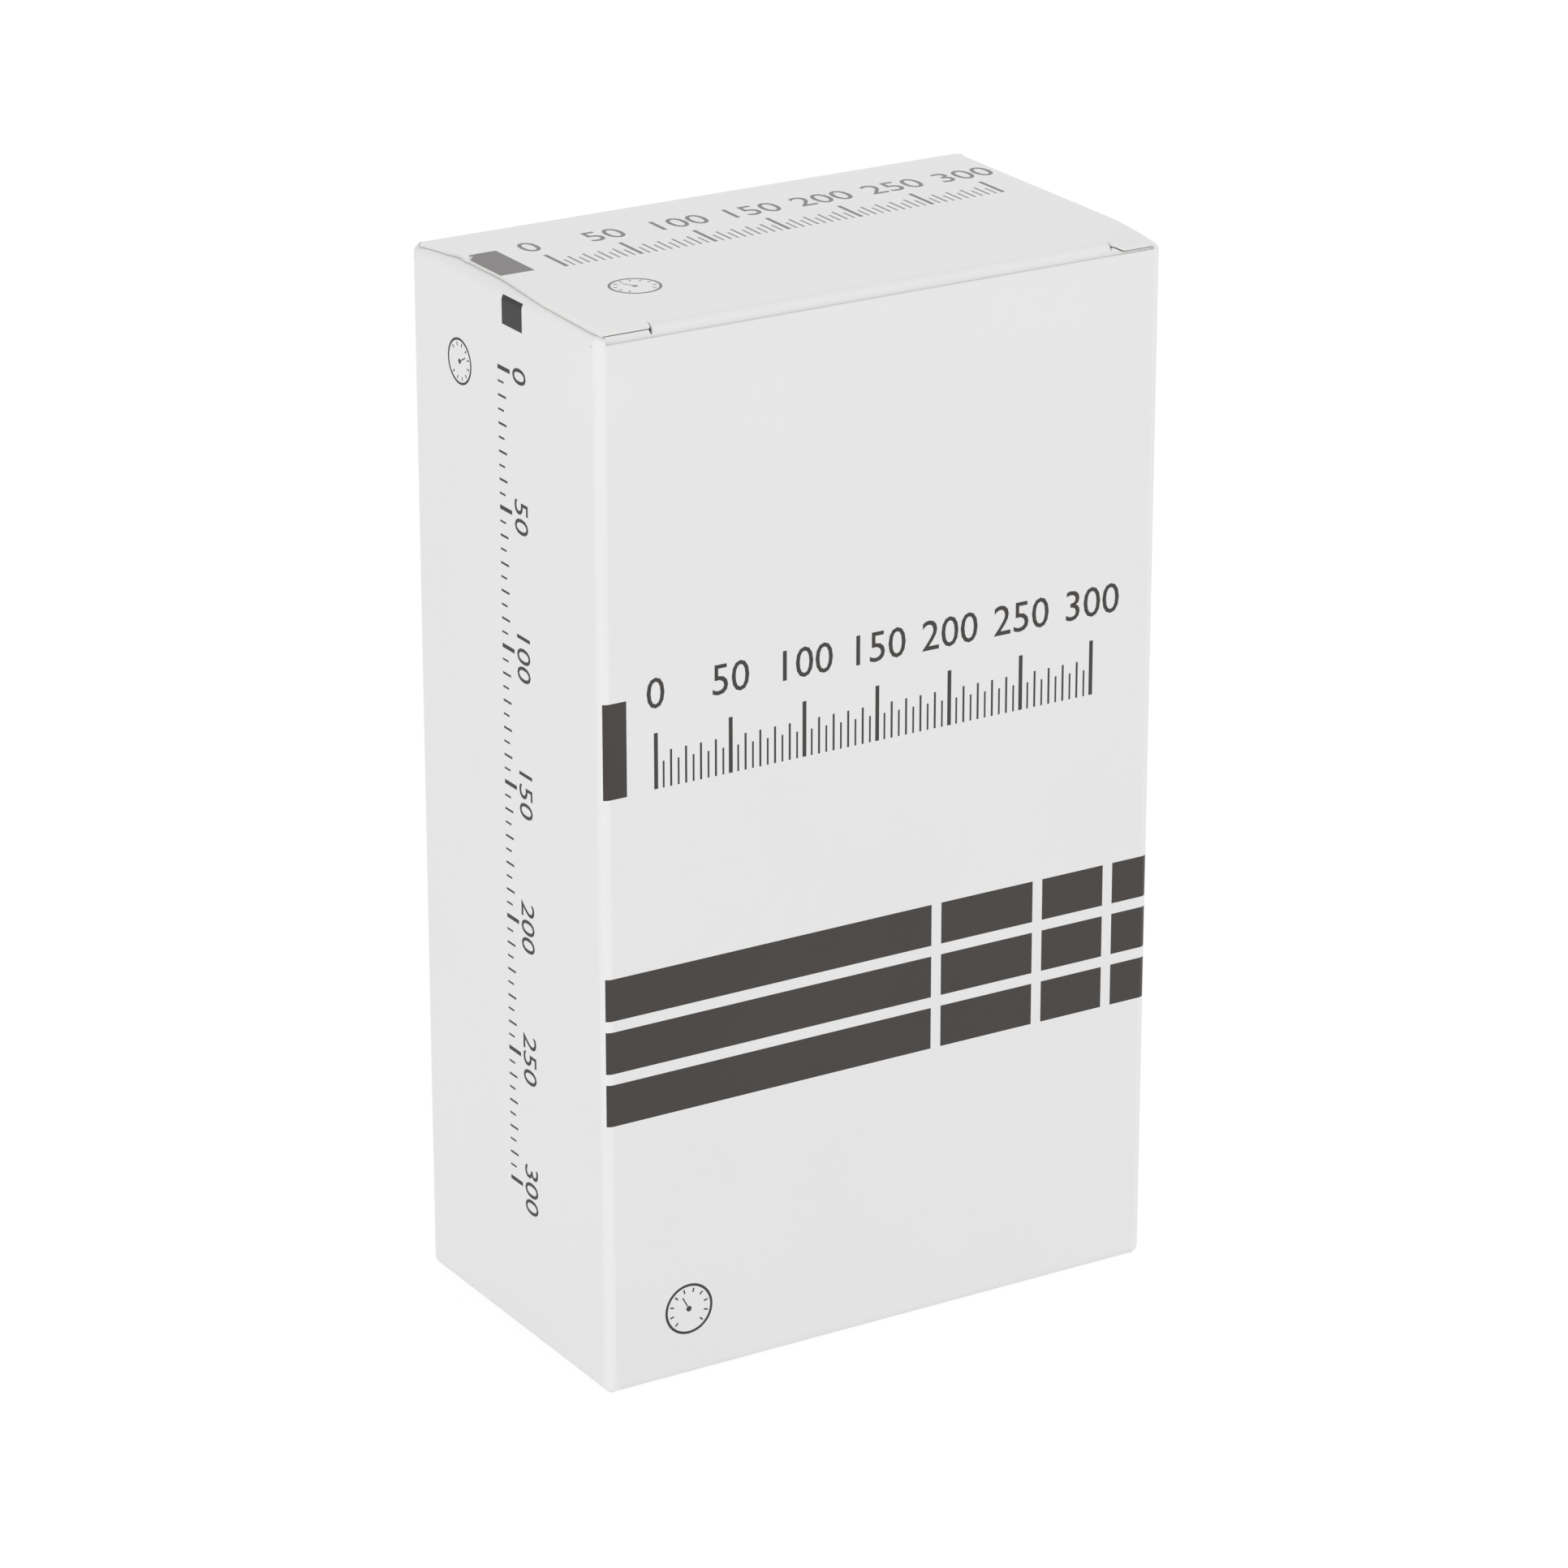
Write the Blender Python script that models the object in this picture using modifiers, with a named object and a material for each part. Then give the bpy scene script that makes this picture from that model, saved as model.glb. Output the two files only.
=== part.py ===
"""Boxed aneroid blood pressure instrument.

A folded board carton with a hinged tuck-in lid holds a rolled cuff, a dial gauge, a squeeze
bulb with its valves, and the two hoses that join them. Metres, +Z up, the middle of the
carton's bottom at the origin, the wide front panel facing -Y.
"""

import math

import bmesh
import bpy
from mathutils import Vector

GAP = 0.0003
OVERRUN = 0.002

# Carton
CARTON_WIDTH = 0.122
CARTON_DEPTH = 0.070
CARTON_HEIGHT = 0.210
BOARD = 0.0006
FOLD_RADIUS = 0.0018
GLUE_LAP = 0.014
LAP_MARGIN = 0.004
FRONT_EDGE_DROP = 0.0024
LID_SIDE_MARGIN = 0.0015
TUCK_LENGTH = 0.014
TUCK_LEAN = math.radians(9.0)
TUCK_TAPER = 0.006
TUCK_CORNER = 0.004
DUST_LENGTH = 0.045
DUST_BACK_CLEARANCE = 0.0015
DUST_BACK_SLOPE = 0.65
DUST_FRONT_CLEARANCE = 0.0030
DUST_FRONT_TAPER = 0.0020
BOTTOM_SIDE_LENGTH = 0.040
BOTTOM_SIDE_TAPER = 0.005
BOTTOM_INNER_DEPTH = 0.048

# Rolled cuff
ROLL_HEADROOM = 0.0623
CLOTH = 0.0009
BLADDER = 0.0012
ROLL_CORE_RADIUS = 0.007
BARE_TURNS = 2.4
FULL_TURNS = 3.1
BLADDER_END_TURNS = 0.35
BLADDER_MARGIN = 0.0060
ROLL_END_ANGLE = math.radians(105.0)
ROLL_STEPS = 22
PATCH = 0.0008
LOOP_TURNS = 0.36
LOOP_START_TURNS = 0.02
LOOP_MARGIN = 0.008
HOOK_TURNS = 0.17
HOOK_START_TURNS = 0.04
HOOK_HEIGHT = 0.060
ROLL_WALL_CLEARANCE = 0.0006

# Ports of the bladder
PORT_RADIUS = 0.0015
PORT_BORE = 0.0008
PORT_COLLAR_RADIUS = 0.0031
PORT_COLLAR = 0.0012
PORT_LENGTH = 0.0115
PORT_NECK_WIDTH = 0.0070
PORT_TURNS_BACK = 0.50
PORT_TURNS_APART = 0.066

# Gauge case
CASE_RADIUS = 0.0225
CASE_HEIGHT = 0.0198
CASE_FLOOR = 0.0015
CASE_LOWER_WALL = 0.0022
CASE_MIDDLE_WALL = 0.0014
CASE_UPPER_WALL = 0.0009
PLATE_LEDGE = 0.0111
DIAL_LEDGE = 0.0169
BEZEL_WALL = 0.0010
BEZEL_SKIRT = 0.0030
BEZEL_LIP = 0.0018
GASKET = 0.0005
LENS = 0.0014
DIAL = 0.0005
GAUGE_WALL_CLEARANCE = 0.0031
ROUND_STEPS = 40

# Spring clip under the gauge
CLIP = 0.0007
CLIP_LENGTH = 0.034
CLIP_WIDTH = 0.012
CLIP_SPREAD = 0.0036
CLIP_BEND_STEPS = 5

# Diaphragm capsule
CAPSULE_RADIUS = 0.0155
CAPSULE_SHEET = 0.0004
CAPSULE_SHELL_HEIGHT = 0.0018
CAPSULE_RIDGE = 0.0004
CAPSULE_BOSS_RADIUS = 0.0030

# Movement
TEETH_MODULE = 0.00029
PINION_TEETH = 10
WHEEL_TEETH = 90
SECTOR_TEETH = 11
POINTER_SWEEP = math.radians(300.0)
PRESSURE_ANGLE = math.radians(25.0)
TOOTH_THINNING = 0.00004
TOOTH_TIP_SHARE = 0.8
TOOTH_ROOT_SHARE = 1.1
PLATE = 0.0008
SECTOR_THICKNESS = 0.0010
PINION_THICKNESS = 0.0014
SECTOR_HUB_RADIUS = 0.0016
SECTOR_TAIL_LENGTH = 0.0033
SECTOR_TAIL_WIDTH = 0.0010
ARBOR_RADIUS = 0.0006
PIVOT_CLEARANCE = 0.0003
PLATE_SPACE = 0.0033
PILLAR_RADIUS = 0.0012
BRIDGE_HALF_WIDTH = 0.0065
BRIDGE_FRONT = 0.0065
BRIDGE_BACK = 0.0028
HAIRSPRING_STRIP = 0.00014
HAIRSPRING_HEIGHT = 0.0008
HAIRSPRING_INNER = 0.0014
HAIRSPRING_OUTER = 0.0048
HAIRSPRING_TURNS = 3
HAIRSPRING_STEPS = 12
POINTER_THICKNESS = 0.0004
POINTER_LENGTH = 0.0165
POINTER_TAIL = 0.0050
POINTER_WIDTH = 0.0014
POINTER_TIP_WIDTH = 0.0004
POINTER_HUB_RADIUS = 0.0020
POINTER_LIFT = 0.0009

# Rocker between the capsule's pin and the sector's tail
ROCKER_REACH = 0.0026
ROCKER_SHAFT_RADIUS = 0.0006
ROCKER_BAR = 0.0010
ROCKER_ARM_SHARE = 0.96
ROCKER_FINGER_SHARE = 0.9
ROCKER_DROP = 0.0020
ROCKER_FINGER_HEIGHT = 0.0047
ROCKER_FINGER_OFFSET = 0.0015
ROCKER_SHAFT_FRONT = 0.0020
ROCKER_SHAFT_BACK = 0.0041
LUG_THICKNESS = 0.0010
LUG_WIDTH = 0.0024
PIN_RADIUS = 0.0008

# Inlet stem of the gauge
STEM_RADIUS = 0.0023
STEM_BORE = 0.0007
STEM_HEIGHT = 0.0044
STEM_FLANGE_RADIUS = 0.0034
STEM_FLANGE = 0.0018
BARB_RADIUS = 0.0015
BARB_WAIST = 0.0012
BARB_LENGTH = 0.0115
BARB_RINGS = 3

# Squeeze bulb
BULB_RADIUS = 0.0235
BULB_LENGTH = 0.088
BULB_WALL = 0.0020
BULB_NECK_RADIUS = 0.0075
BULB_NECK_BORE = 0.0049
BULB_NECK_LENGTH = 0.009
BULB_STEPS = 24
BULB_RINGS = 9
BULB_WALL_CLEARANCE = 0.0006

# Intake valve
INTAKE_FLANGE_RADIUS = 0.0066
INTAKE_FLANGE = 0.0012
INTAKE_LENGTH = 0.0105
INTAKE_HOLE = 0.0010
INTAKE_CHAMBER = 0.0023
INTAKE_SEAT_RISE = 0.0020
BALL_RADIUS = 0.0018
BALL_LIFT = 0.0008

# Release valve
VALVE_PLUG_LENGTH = 0.010
VALVE_FLANGE_RADIUS = 0.0072
VALVE_FLANGE = 0.0016
VALVE_BODY_RADIUS = 0.0052
VALVE_BODY_LENGTH = 0.0170
VALVE_PASSAGE = 0.0008
SEAL_RING = 0.0006
SEAL_RING_BORE = 0.0052
BOSS_RADIUS = 0.0036
BOSS_REACH = 0.0085
SCREW_RADIUS = 0.0017
SCREW_LENGTH = 0.0070
SCREW_COLLAR_RADIUS = 0.0028
SCREW_COLLAR = 0.0010
SCREW_HEAD_RADIUS = 0.0052
SCREW_HEAD_LENGTH = 0.0060
SCREW_FLUTES = 14
SCREW_FLUTE_DEPTH = 0.0005
VALVE_STEPS = 20

# Hoses
HOSE_RADIUS = 0.0033
HOSE_BORE = 0.0018
HOSE_STEM_SHARE = 1.3
HOSE_PORT_SHARE = 1.6
HOSE_VALVE_SHARE = 1.4
LOOP_SIDE_SHIFT = 0.0043
LOOP_RADIUS = 0.023
LOOP_RISE = 0.0023
LOOP_DEPTH = 0.046
LOOP_FROM = math.radians(110.0)
LOOP_TO = math.radians(-480.0)
LOOP_POINTS = 15

COLLECTION = "aneroid_blood_pressure_kit"
GUIDES = "cutters"


def clear_scene():
    for item in list(bpy.data.objects):
        bpy.data.objects.remove(item, do_unlink=True)
    for name in (COLLECTION, GUIDES):
        group = bpy.data.collections.new(name)
        bpy.context.scene.collection.children.link(group)


def paint(name, colour, roughness, metallic=0.0):
    """A plain Principled material."""
    skin = bpy.data.materials.new(name)
    skin.use_nodes = True
    shader = skin.node_tree.nodes["Principled BSDF"]
    shader.inputs["Base Color"].default_value = (*colour, 1.0)
    shader.inputs["Roughness"].default_value = roughness
    shader.inputs["Metallic"].default_value = metallic
    return skin


def place(item, skin=None, at=(0.0, 0.0, 0.0), turn=(0.0, 0.0, 0.0), parent=None, guide=False):
    """Puts an object in its collection, at its place, with its material."""
    bpy.data.collections[GUIDES if guide else COLLECTION].objects.link(item)
    item.location = at
    item.rotation_euler = turn
    if parent is not None:
        item.parent = parent
    if skin is not None:
        item.data.materials.append(skin)
    if guide:
        item.hide_render = True
        item.display_type = "WIRE"
    return item


def pivot(name, at, turn=(0.0, 0.0, 0.0)):
    """An empty on a joint's axis."""
    item = bpy.data.objects.new(name, None)
    return place(item, at=at, turn=turn)


def flat(name, outlines, thickness, skin, **where):
    """A flat outline, with any holes, thickened both ways from its own plane."""
    curve = bpy.data.curves.new(name, "CURVE")
    curve.dimensions = "2D"
    curve.fill_mode = "BOTH"
    curve.extrude = thickness / 2
    for outline in outlines:
        spline = curve.splines.new("POLY")
        spline.points.add(len(outline) - 1)
        for point, (x, y) in zip(spline.points, outline):
            point.co = (x, y, 0.0, 1.0)
        spline.use_cyclic_u = True
    return place(bpy.data.objects.new(name, curve), skin, **where)


def as_mesh(item):
    """The curve object made a mesh with its caps welded, so that Booleans can work on it."""
    bpy.context.view_layer.update()
    source = item.evaluated_get(bpy.context.evaluated_depsgraph_get())
    mesh = bpy.data.meshes.new_from_object(source)
    shape = bmesh.new()
    shape.from_mesh(mesh)
    bmesh.ops.remove_doubles(shape, verts=shape.verts, dist=1e-7)
    shape.to_mesh(mesh)
    shape.free()
    name = item.name
    group = item.users_collection[0]
    solid = bpy.data.objects.new(name, mesh)
    group.objects.link(solid)
    solid.parent = item.parent
    solid.matrix_world = item.matrix_world.copy()
    bpy.data.objects.remove(item, do_unlink=True)
    solid.name = name
    return solid


def turned(name, profile, steps, skin=None, **where):
    """A closed profile (radius, height), outer side first from top to bottom, turned about Z."""
    mesh = bpy.data.meshes.new(name)
    shape = bmesh.new()
    points = [shape.verts.new((radius, 0.0, height)) for radius, height in profile]
    for first, second in zip(points, points[1:] + points[:1]):
        if first.co.x > 0 or second.co.x > 0:
            shape.edges.new((first, second))
    shape.to_mesh(mesh)
    shape.free()
    item = place(bpy.data.objects.new(name, mesh), skin, **where)
    screw = item.modifiers.new("Screw", "SCREW")
    screw.steps = steps
    screw.render_steps = steps
    screw.use_merge_vertices = True
    screw.merge_threshold = 1e-6
    screw.use_smooth_shade = True
    return item


def box(name, low, high, skin=None, **where):
    """A box between two corners."""
    mesh = bpy.data.meshes.new(name)
    shape = bmesh.new()
    bmesh.ops.create_cube(shape, size=1.0)
    centre = [(a + b) / 2 for a, b in zip(low, high)]
    size = [b - a for a, b in zip(low, high)]
    bmesh.ops.scale(shape, vec=Vector(size), verts=shape.verts)
    bmesh.ops.translate(shape, vec=Vector(centre), verts=shape.verts)
    shape.to_mesh(mesh)
    shape.free()
    return place(bpy.data.objects.new(name, mesh), skin, **where)


def rod(name, radius, low, high, sides, skin=None, **where):
    """A cylinder along the object's Z from low to high."""
    mesh = bpy.data.meshes.new(name)
    shape = bmesh.new()
    bmesh.ops.create_cone(
        shape, cap_ends=True, segments=sides, radius1=radius, radius2=radius, depth=high - low
    )
    bmesh.ops.translate(shape, vec=Vector((0.0, 0.0, (low + high) / 2)), verts=shape.verts)
    shape.to_mesh(mesh)
    shape.free()
    return place(bpy.data.objects.new(name, mesh), skin, **where)


def combine(item, other, operation):
    """Adds a Boolean modifier against another object, which becomes a guide."""
    if operation == "UNION" and COLLECTION in [group.name for group in other.users_collection]:
        bpy.data.collections[COLLECTION].objects.unlink(other)
        bpy.data.collections[GUIDES].objects.link(other)
    other.hide_render = True
    other.display_type = "WIRE"
    boolean = item.modifiers.new(operation.title(), "BOOLEAN")
    boolean.operation = operation
    boolean.object = other
    boolean.solver = "EXACT"


def circle(radius, sides, centre=(0.0, 0.0), phase=0.0):
    """The corners of a regular polygon."""
    turns = [phase + 2 * math.pi * i / sides for i in range(sides)]
    return [(centre[0] + radius * math.cos(a), centre[1] + radius * math.sin(a)) for a in turns]


def arc(centre, radius, start, end, steps):
    """Points along an arc, its ends included."""
    turns = [start + (end - start) * i / steps for i in range(steps + 1)]
    return [(centre[0] + radius * math.cos(a), centre[1] + radius * math.sin(a)) for a in turns]


def strip(path, thickness):
    """The outline of a strip of even thickness that lies to the left of a path."""
    points = [Vector(point) for point in path]
    steps = [(b - a).normalized() for a, b in zip(points, points[1:])]
    inner = []
    for i, point in enumerate(points):
        before = steps[max(i - 1, 0)]
        after = steps[min(i, len(steps) - 1)]
        side = Vector((-before.y - after.y, before.x + after.x)).normalized()
        reach = thickness / side.dot(Vector((-after.y, after.x)))
        inner.append(point + side * reach)
    return [tuple(point) for point in points + inner[::-1]]


def smooth_route(points, each):
    """Points read from a smooth curve through the given ones, a few for each stretch."""
    knots = [Vector(point) for point in points]
    knots = [2 * knots[0] - knots[1]] + knots + [2 * knots[-1] - knots[-2]]
    route = []
    for a, b, c, d in zip(knots, knots[1:], knots[2:], knots[3:]):
        for i in range(each):
            t = i / each
            bend = (2 * a - 5 * b + 4 * c - d) * t * t + (3 * b - a - 3 * c + d) * t * t * t
            route.append((2 * b + (c - a) * t + bend) / 2)
    return route + [knots[-2]]


# Carton

HALF_WIDTH = CARTON_WIDTH / 2
HALF_DEPTH = CARTON_DEPTH / 2
INNER_WIDTH = HALF_WIDTH - BOARD - GAP
INNER_DEPTH = HALF_DEPTH - BOARD - GAP
DUST_TOP = CARTON_HEIGHT - BOARD - GAP
FLOOR_TOP = 3 * BOARD + 2 * GAP + GAP


def make_sleeve(skin):
    """One sheet round four walls: lap, right wall, front, left wall, back, its ends apart by a gap."""
    corner = FOLD_RADIUS
    lap_face = HALF_DEPTH - BOARD - GAP
    steps = 4
    path = [(HALF_WIDTH - GLUE_LAP, lap_face)]
    path += arc((HALF_WIDTH - corner, lap_face - corner), corner, math.pi / 2, 0.0, steps)
    path += arc((HALF_WIDTH - corner, corner - HALF_DEPTH), corner, 0.0, -math.pi / 2, steps)
    path += arc((corner - HALF_WIDTH, corner - HALF_DEPTH), corner, -math.pi / 2, -math.pi, steps)
    path += arc((corner - HALF_WIDTH, HALF_DEPTH - corner), corner, math.pi, math.pi / 2, steps)
    path += [(HALF_WIDTH - BOARD, HALF_DEPTH)]
    outline = strip(path[::-1], BOARD)
    middle = CARTON_HEIGHT / 2
    sleeve = as_mesh(flat("carton_sleeve", [outline], CARTON_HEIGHT, skin, at=(0, 0, middle)))
    top = CARTON_HEIGHT + OVERRUN
    front = box(
        "front_edge_cutter",
        (corner - HALF_WIDTH, -HALF_DEPTH - OVERRUN, CARTON_HEIGHT - FRONT_EDGE_DROP),
        (HALF_WIDTH - corner, corner - HALF_DEPTH, top),
        guide=True,
    )
    combine(sleeve, front, "DIFFERENCE")
    for side, name in ((-1, "left_edge_cutter"), (1, "right_edge_cutter")):
        reach = sorted((side * (HALF_WIDTH - corner), side * (HALF_WIDTH + OVERRUN)))
        cutter = box(
            name,
            (reach[0], -HALF_DEPTH - OVERRUN, DUST_TOP),
            (reach[1], HALF_DEPTH + OVERRUN, top),
            guide=True,
        )
        combine(sleeve, cutter, "DIFFERENCE")
    for low, high, name in (
        (-OVERRUN, LAP_MARGIN, "lap_foot_cutter"),
        (CARTON_HEIGHT - LAP_MARGIN, top, "lap_head_cutter"),
    ):
        cutter = box(
            name,
            (HALF_WIDTH - GLUE_LAP - OVERRUN, lap_face - BOARD - OVERRUN, low),
            (HALF_WIDTH - corner, lap_face + GAP / 2, high),
            guide=True,
        )
        combine(sleeve, cutter, "DIFFERENCE")
    return sleeve


def make_lid(skin):
    """The lid plate and the flap that tucks down behind the front panel."""
    hinge = pivot("lid_pivot", (0.0, HALF_DEPTH, CARTON_HEIGHT))
    half = HALF_WIDTH - LID_SIDE_MARGIN
    tuck_face = INNER_DEPTH
    front = BOARD + GAP + BOARD * math.tan(TUCK_LEAN) - tuck_face
    box(
        "lid_panel",
        (-half, front - HALF_DEPTH, -BOARD),
        (half, INNER_DEPTH - HALF_DEPTH, 0.0),
        skin,
        parent=hinge,
    )
    turn = pivot("tuck_pivot", (0.0, -tuck_face - HALF_DEPTH, 0.0), (TUCK_LEAN, 0.0, 0.0))
    turn.parent = hinge
    tip = half - TUCK_TAPER
    top = -BOARD * math.tan(TUCK_LEAN)
    outline = [(-half, top), (-half, -TUCK_CORNER), (-tip - TUCK_CORNER / 2, TUCK_CORNER - TUCK_LENGTH)]
    outline += [(-tip + TUCK_CORNER, -TUCK_LENGTH)]
    outline += [(-x, y) for x, y in outline[::-1]]
    flat(
        "tuck_flap",
        [outline],
        BOARD,
        skin,
        at=(0.0, BOARD / 2, 0.0),
        turn=(math.pi / 2, 0.0, 0.0),
        parent=turn,
    )


def make_dust_flap(name, side, skin):
    """A side flap that lies under the lid, its back edge sloped to clear the lid as both open."""
    hinge = pivot(name + "_pivot", (side * HALF_WIDTH, 0.0, DUST_TOP))
    root = HALF_WIDTH - INNER_WIDTH
    front = DUST_FRONT_CLEARANCE - HALF_DEPTH
    back = HALF_DEPTH - DUST_BACK_CLEARANCE
    outline = [
        (-side * root, front),
        (-side * root, back - DUST_BACK_SLOPE * root),
        (-side * DUST_LENGTH, back - DUST_BACK_SLOPE * DUST_LENGTH),
        (-side * DUST_LENGTH, front + DUST_FRONT_TAPER),
    ]
    flat(name, [outline], BOARD, skin, at=(0.0, 0.0, -BOARD / 2), parent=hinge)


def make_bottom(skin):
    """The glued bottom: outer flap, inner flap and the two side flaps, stacked upward."""
    cut = FOLD_RADIUS
    wide = INNER_WIDTH
    deep = INNER_DEPTH
    outer = [(-wide, cut - deep), (cut - wide, -deep), (wide - cut, -deep), (wide, cut - deep)]
    outer += [(-x, -y) for x, y in outer]
    flat("bottom_outer_flap", [outer], BOARD, skin, at=(0.0, 0.0, BOARD / 2))
    level = BOARD + GAP
    edge = BOTTOM_INNER_DEPTH - deep
    inner = outer[:4] + [(wide, edge), (-wide, edge)]
    flat("bottom_inner_flap", [inner], BOARD, skin, at=(0.0, 0.0, level + BOARD / 2))
    middle = 2 * level + BOARD / 2
    for side, name in ((-1, "bottom_side_flap_left"), (1, "bottom_side_flap_right")):
        tip = side * (wide - BOTTOM_SIDE_LENGTH)
        slope = deep - BOTTOM_SIDE_TAPER
        outline = [
            (side * wide, cut - deep),
            (side * (wide - cut), -deep),
            (tip, -slope),
            (tip, slope),
            (side * (wide - cut), deep),
            (side * wide, deep - cut),
        ]
        flat(name, [outline], BOARD, skin, at=(0.0, 0.0, middle))


# Rolled cuff

ROLL_TURNS = BARE_TURNS + FULL_TURNS
BARE_PITCH = 2 * CLOTH + 2 * GAP
FULL_PITCH = BARE_PITCH + BLADDER + GAP


def roll_radius(turn):
    """Radius of the outer cloth's outer face after so many turns from the core."""
    bare = min(turn, BARE_TURNS)
    return ROLL_CORE_RADIUS + bare * BARE_PITCH + max(turn - BARE_TURNS, 0.0) * FULL_PITCH


def cloth_space(turn):
    """Room between the two cloths: a gap at the core, the bladder's thickness further out."""
    share = min(max(turn - BARE_TURNS, 0.0), 1.0)
    return GAP + share * (BLADDER + GAP)


def roll_angle(turn):
    return ROLL_END_ANGLE + (turn - ROLL_TURNS) * 2 * math.pi


def roll_strip(start, end, outer, inner):
    """The outline of one layer between two turns, from its outer and inner radius rules."""
    steps = max(2, round((end - start) * ROLL_STEPS))
    turns = [start + (end - start) * i / steps for i in range(steps + 1)]
    sides = []
    for rule in (outer, inner):
        sides.append(
            [(rule(t) * math.cos(roll_angle(t)), rule(t) * math.sin(roll_angle(t))) for t in turns]
        )
    return sides[0] + sides[1][::-1]


ROLL_RADIUS = roll_radius(ROLL_TURNS)
ROLL_X = ROLL_RADIUS + ROLL_WALL_CLEARANCE + BOARD - HALF_WIDTH
ROLL_TOP = CARTON_HEIGHT - ROLL_HEADROOM
CUFF_WIDTH = ROLL_TOP - FLOOR_TOP
BLADDER_END = ROLL_TURNS - BLADDER_END_TURNS


def bladder_face(turn):
    return roll_radius(turn) - CLOTH - GAP


def port_place(turn):
    """Plan position of a port, in the middle of the bladder's thickness."""
    radius = bladder_face(turn) - BLADDER / 2
    angle = roll_angle(turn)
    return ROLL_X + radius * math.cos(angle), radius * math.sin(angle), angle


def make_cuff(cloth_skin, lining_skin, rubber_skin, hook_skin):
    """Outer cloth, lining cloth and bladder wound as three even layers, with the two fasteners."""
    middle = FLOOR_TOP + CUFF_WIDTH / 2
    at = (ROLL_X, 0.0, middle)
    outer = roll_strip(0.0, ROLL_TURNS, roll_radius, lambda t: roll_radius(t) - CLOTH)
    flat("cuff_outer_cloth", [outer], CUFF_WIDTH, cloth_skin, at=at)
    lining = roll_strip(
        0.0,
        ROLL_TURNS,
        lambda t: roll_radius(t) - CLOTH - cloth_space(t),
        lambda t: roll_radius(t) - 2 * CLOTH - cloth_space(t),
    )
    flat("cuff_inner_cloth", [lining], CUFF_WIDTH, lining_skin, at=at)
    bladder = roll_strip(
        BARE_TURNS + 1.0, BLADDER_END, bladder_face, lambda t: bladder_face(t) - BLADDER
    )
    flat("cuff_bladder", [bladder], CUFF_WIDTH - 2 * BLADDER_MARGIN, rubber_skin, at=at)
    start = ROLL_TURNS - 1.0 + LOOP_START_TURNS
    loop = roll_strip(
        start,
        start + LOOP_TURNS,
        lambda t: roll_radius(t) + GAP + PATCH,
        lambda t: roll_radius(t) + GAP,
    )
    flat("loop_patch", [loop], CUFF_WIDTH - 2 * LOOP_MARGIN, hook_skin, at=at)
    start = ROLL_TURNS - 1.0 + HOOK_START_TURNS
    hook = roll_strip(
        start,
        start + HOOK_TURNS,
        lambda t: roll_radius(t) + 2 * GAP + 2 * PATCH,
        lambda t: roll_radius(t) + 2 * GAP + PATCH,
    )
    flat("hook_tab", [hook], HOOK_HEIGHT, cloth_skin, at=at)


def port_section(width, depth, height, sides):
    """An oval ring of points at a height."""
    turns = [2 * math.pi * i / sides for i in range(sides)]
    return [(width / 2 * math.cos(a), depth / 2 * math.sin(a), height) for a in turns]


def make_port(name, turn, skin):
    """A port that leaves the bladder's top edge flat between the cloths and ends round."""
    x, y, angle = port_place(turn)
    low = ROLL_TOP - BLADDER_MARGIN + GAP
    sides = 12
    rise = ROLL_TOP + GAP - low
    collar = rise + PORT_COLLAR
    outer = [
        port_section(PORT_NECK_WIDTH, BLADDER, 0.0, sides),
        port_section(PORT_NECK_WIDTH, BLADDER, rise, sides),
        port_section(2 * PORT_COLLAR_RADIUS, 2 * PORT_COLLAR_RADIUS, rise + GAP, sides),
        port_section(2 * PORT_COLLAR_RADIUS, 2 * PORT_COLLAR_RADIUS, collar, sides),
        port_section(2 * PORT_RADIUS, 2 * PORT_RADIUS, collar + GAP, sides),
        port_section(2 * PORT_RADIUS, 2 * PORT_RADIUS, collar + PORT_LENGTH, sides),
    ]
    inner = [
        port_section(2 * PORT_BORE, 2 * PORT_BORE, collar + PORT_LENGTH, sides),
        port_section(2 * PORT_BORE, 2 * PORT_BORE, collar, sides),
        port_section(PORT_NECK_WIDTH - BLADDER, BLADDER / 2, rise, sides),
        port_section(PORT_NECK_WIDTH - BLADDER, BLADDER / 2, 0.0, sides),
    ]
    mesh = bpy.data.meshes.new(name)
    shape = bmesh.new()
    rings = [[shape.verts.new(point) for point in ring] for ring in outer + inner]
    for lower, upper in zip(rings, rings[1:] + rings[:1]):
        for i in range(sides):
            j = (i + 1) % sides
            shape.faces.new((lower[i], lower[j], upper[j], upper[i]))
    shape.to_mesh(mesh)
    shape.free()
    place(bpy.data.objects.new(name, mesh), skin, at=(x, y, low), turn=(0, 0, angle + math.pi / 2))


# Gauge

GAUGE_X = ROLL_X
GAUGE_Y = HALF_DEPTH - BOARD - GAUGE_WALL_CLEARANCE - CASE_RADIUS - GAP - BEZEL_WALL
CLIP_BASE = ROLL_TOP + GAP
CASE_BASE = CLIP_BASE + CLIP_SPREAD
PLATE_BASE = CASE_BASE + PLATE_LEDGE + GAP
PLATE_TOP = PLATE_BASE + PLATE
BRIDGE_BASE = PLATE_TOP + PLATE_SPACE
DIAL_BASE = CASE_BASE + DIAL_LEDGE + GAP
POINTER_BASE = DIAL_BASE + DIAL + POINTER_LIFT
RIM_TOP = CASE_BASE + CASE_HEIGHT
LENS_BASE = RIM_TOP + GASKET + 2 * GAP
BEZEL_TOP = LENS_BASE + LENS + GAP + BEZEL_WALL
PINION_PITCH = TEETH_MODULE * PINION_TEETH / 2
WHEEL_PITCH = TEETH_MODULE * WHEEL_TEETH / 2
CENTRES = PINION_PITCH + WHEEL_PITCH
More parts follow.
